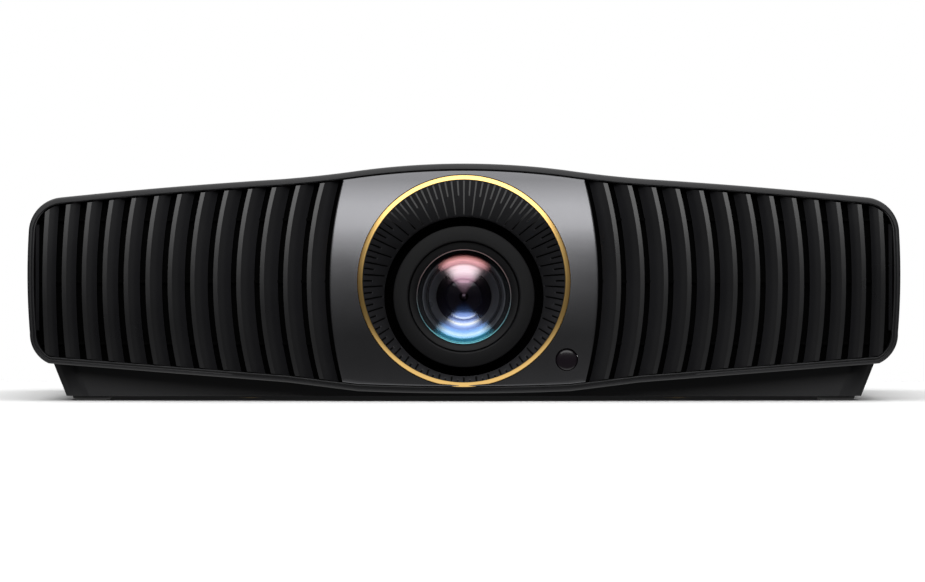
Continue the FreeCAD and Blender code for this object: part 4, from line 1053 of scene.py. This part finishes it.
def key(name, node, body, y, z, outer, inner=0.001):
    """A push button on the right side, with a crowned face; inner is the hole of a ring-shaped one."""
    base, face = KEY_BASE, KEY_BASE + 4.0
    section = [(inner, base), (outer, base), (outer, face - 0.5), (outer - 0.12, face - 0.2),
               (outer - 0.4, face - 0.05), (inner + (outer - inner) * 0.5, face)]
    if inner > 0.01:
        section += [(inner + 0.4, face - 0.05), (inner + 0.12, face - 0.2), (inner, face - 0.5)]
    else:
        section.append((inner, face))
    new_mesh(name, turned(section, (0, y, z), "x", 64), body, "key_black", [node], 35)


def build_keys():
    key("power_key", "power_button", "power_button", KEY_Y - 18, KEY_LEVEL, 4.5)
    key("back_key", "back_button", "back_button", KEY_Y - 6, KEY_LEVEL + 7, 3.5)
    key("navigation_key", "navigation_ring", "navigation_ring", KEY_Y + 8, KEY_LEVEL - 1, 9.0, 4.3)
    key("ok_key", "ok_button", "ok_button", KEY_Y + 8, KEY_LEVEL - 1, 4.0)


# ---- fans

FAN_X, FAN_Y, FAN_LEVEL, BLADES = 150.0, -118.0, 64.0, 7
BLADE_ROOT, BLADE_TIP, BLADE_HALF = 15.2, 36.9, 8.6


def fan_blade(turn, centre):
    """A swept blade that twists from its root to its tip."""
    section = ((-1, 0), (-0.5, 0.5), (0, 0.7), (0.5, 0.5), (1, 0), (0.5, -0.5), (0, -0.4), (-0.5, -0.8))
    x, y, z = centre
    rings = []
    for share in np.linspace(0, 1, 9):
        radius = BLADE_ROOT + (BLADE_TIP - BLADE_ROOT) * share
        pitch = math.radians(46 - 14 * share)
        sweep = turn + 0.32 * share ** 1.5
        ring = []
        for across, off in section:
            along = across * BLADE_HALF * math.cos(pitch) - off * math.sin(pitch)
            deep = across * BLADE_HALF * math.sin(pitch) + off * math.cos(pitch)
            angle = sweep + along / radius
            ring.append((x + radius * math.cos(angle), y + deep, z + radius * math.sin(angle)))
        rings.append(ring)
    return lofted(rings, caps=True)


def build_rotors():
    for name, x in (("exhaust", FAN_X), ("intake", -FAN_X)):
        centre = (x, FAN_Y + 12, FAN_LEVEL)
        low, high = FAN_Y + 3, FAN_Y + 21
        hub = [(0.001, low), (13.5, low), (15.2, low + 0.5), (16, low + 1.8), (16, high), (14.4, high),
               (14.4, low + 2.4), (4, low + 2.4), (4, high), (0.001, high)]
        shapes = [turned(hub, (x, 0, FAN_LEVEL), "y", 72)]
        shapes += [fan_blade(2 * math.pi * k / BLADES, centre) for k in range(BLADES)]
        new_mesh(f"{name}_impeller", joined(shapes), f"{name}_fan", "fan_black", [f"{name}_fan_rotor"])


# ---- feet

FOOT_X, FOOT_YS = 213.0, {"front": -118.0, "rear": 140.0}


def build_feet():
    pad = [(0.001, 0), (7.5, 0), (9.2, 0.12), (10.3, 0.55), (10.85, 1.2), (11, 2.0), (11, 2.2), (2.5, 2.2),
           (2.5, 5), (0.001, 5)]
    wheel = [(2.6, 2.4), (10.9, 2.4), (11.4, 2.8), (11.4, 3.1), (11.4, 3.3, "cut"), (11.4, 6.6, "cut"),
             (11.4, 6.8), (11.2, 7.2), (10.8, 7.4), (4, 7.4), (4, 30), (0.001, 30), (0.001, 5.4), (2.6, 5.4)]
    for end, y in FOOT_YS.items():
        for side, sign in (("left", -1), ("right", 1)):
            place, name = (sign * FOOT_X, y, 0), f"{end}_{side}"
            new_mesh(f"pad_rubber_{name}", turned(pad, place, "z", 96), f"pad_{name}", "rubber_black",
                     [f"foot_pad_{name}"])
            new_mesh(f"wheel_knurled_{name}", fluted(wheel, 40, 0.5, place, "z"), f"wheel_{name}",
                     "key_black", [f"foot_wheel_{name}"], 25)


# ---- stage


# In metres: the floor and the soft boxes overhead, each as (half its width over its height, near end, radiance)
FLOOR_HALF, FLOOR_NEAR, FLOOR_FAR = 1.1, -4, 0.45
CEILING_HIGH, CEILING_FAR = 1.3, -5.6
CEILINGS = [(0.95, 2.0, 2.0), (0.95, -1.9, 3.4), (0.4, -1.9, 2.8)]
# The world's glow at heights from straight down, -1, to straight up, 1
WORLD_GLOW = [(-1.0, 1.0), (-0.75, 1.0), (-0.45, 0.12), (0.0, 0.05), (0.15, 0.12), (1.0, 0.5)]
# The camera's distance and the width it sees at the object's front, in metres, and its sensor in millimetres
CAMERA_X, CAMERA_FAR, CAMERA_LEVEL, SEEN, SENSOR = -0.0008, 3.0, 0.0623, 0.520, 36


def build_stage():
    corners = [(x, y, 0) for x, y in ((-FLOOR_HALF, FLOOR_NEAR), (FLOOR_HALF, FLOOR_NEAR),
                                      (FLOOR_HALF, FLOOR_FAR), (-FLOOR_HALF, FLOOR_FAR))]
    data = bpy.data.meshes.new("floor")
    data.from_pydata(corners, [], [(0, 1, 2, 3)])
    floor = linked("floor", data)
    data.materials.append(grained("floor_finish", (0.66, 0.66, 0.66), 0.9, grain=60, bump=0.02, spread=0.01,
                                  specular=0.0))
    floor.visible_glossy = False
    floor.visible_diffuse = False


def ceiling(half_share, near, radiance):
    """A long soft box overhead, half_share times as wide each way as it is high above the lens."""
    light = bpy.data.lights.new("ceiling", "AREA")
    light.shape = "RECTANGLE"
    light.size, light.size_y = 2 * half_share * CEILING_HIGH, near - CEILING_FAR
    light.energy = radiance * math.pi * light.size * light.size_y
    obj = linked("ceiling", light)
    obj.location = (0, (near + CEILING_FAR) / 2, CEILING_HIGH + LENS_LEVEL * MM)
    obj.visible_camera = False


def build_light():
    world = bpy.data.worlds.new("studio")
    world.use_nodes = True
    bpy.context.scene.world = world
    tree = world.node_tree
    back = tree.nodes["Background"]
    height = coordinates(tree, "Generated")["Z"]
    level = add(tree, "ShaderNodeMapRange", Value=height, From_Min=-1.0, From_Max=1.0)
    stops = [((height + 1) / 2, (glow,) * 3) for height, glow in WORLD_GLOW]
    glow = colour_ramp(tree, level.outputs["Result"], stops)
    mix = tree.nodes.new("ShaderNodeMix")
    mix.data_type = "RGBA"
    tree.links.new(tree.nodes.new("ShaderNodeLightPath").outputs["Is Camera Ray"], mix.inputs["Factor"])
    tree.links.new(glow, mix.inputs[6])
    mix.inputs[7].default_value = (1, 1, 1, 1)
    tree.links.new(mix.outputs[2], back.inputs["Color"])
    for box in CEILINGS:
        ceiling(*box)
    bpy.context.scene.view_settings.view_transform = "Standard"


def build_camera():
    data = bpy.data.cameras.new("camera")
    camera = linked("camera", data)
    data.sensor_width = SENSOR
    data.lens = SENSOR * (CAMERA_FAR + FRONT * MM) / SEEN
    camera.location = (CAMERA_X, -CAMERA_FAR, CAMERA_LEVEL)
    camera.rotation_euler = (math.pi / 2, 0, 0)
    data.clip_end = 50
    bpy.context.scene.camera = camera


build_camera()
dress_cad_nodes()
for build in (build_frame, build_panel, build_windows, build_ring, build_funnel, build_louvres,
              build_dust_and_shade_sheets, build_barrel, build_focus_cell, build_glass, build_grip_rings, build_cover,
              build_well_walls, build_door, build_dials, build_keys, build_rotors, build_feet, build_stage,
              build_light):
    build()
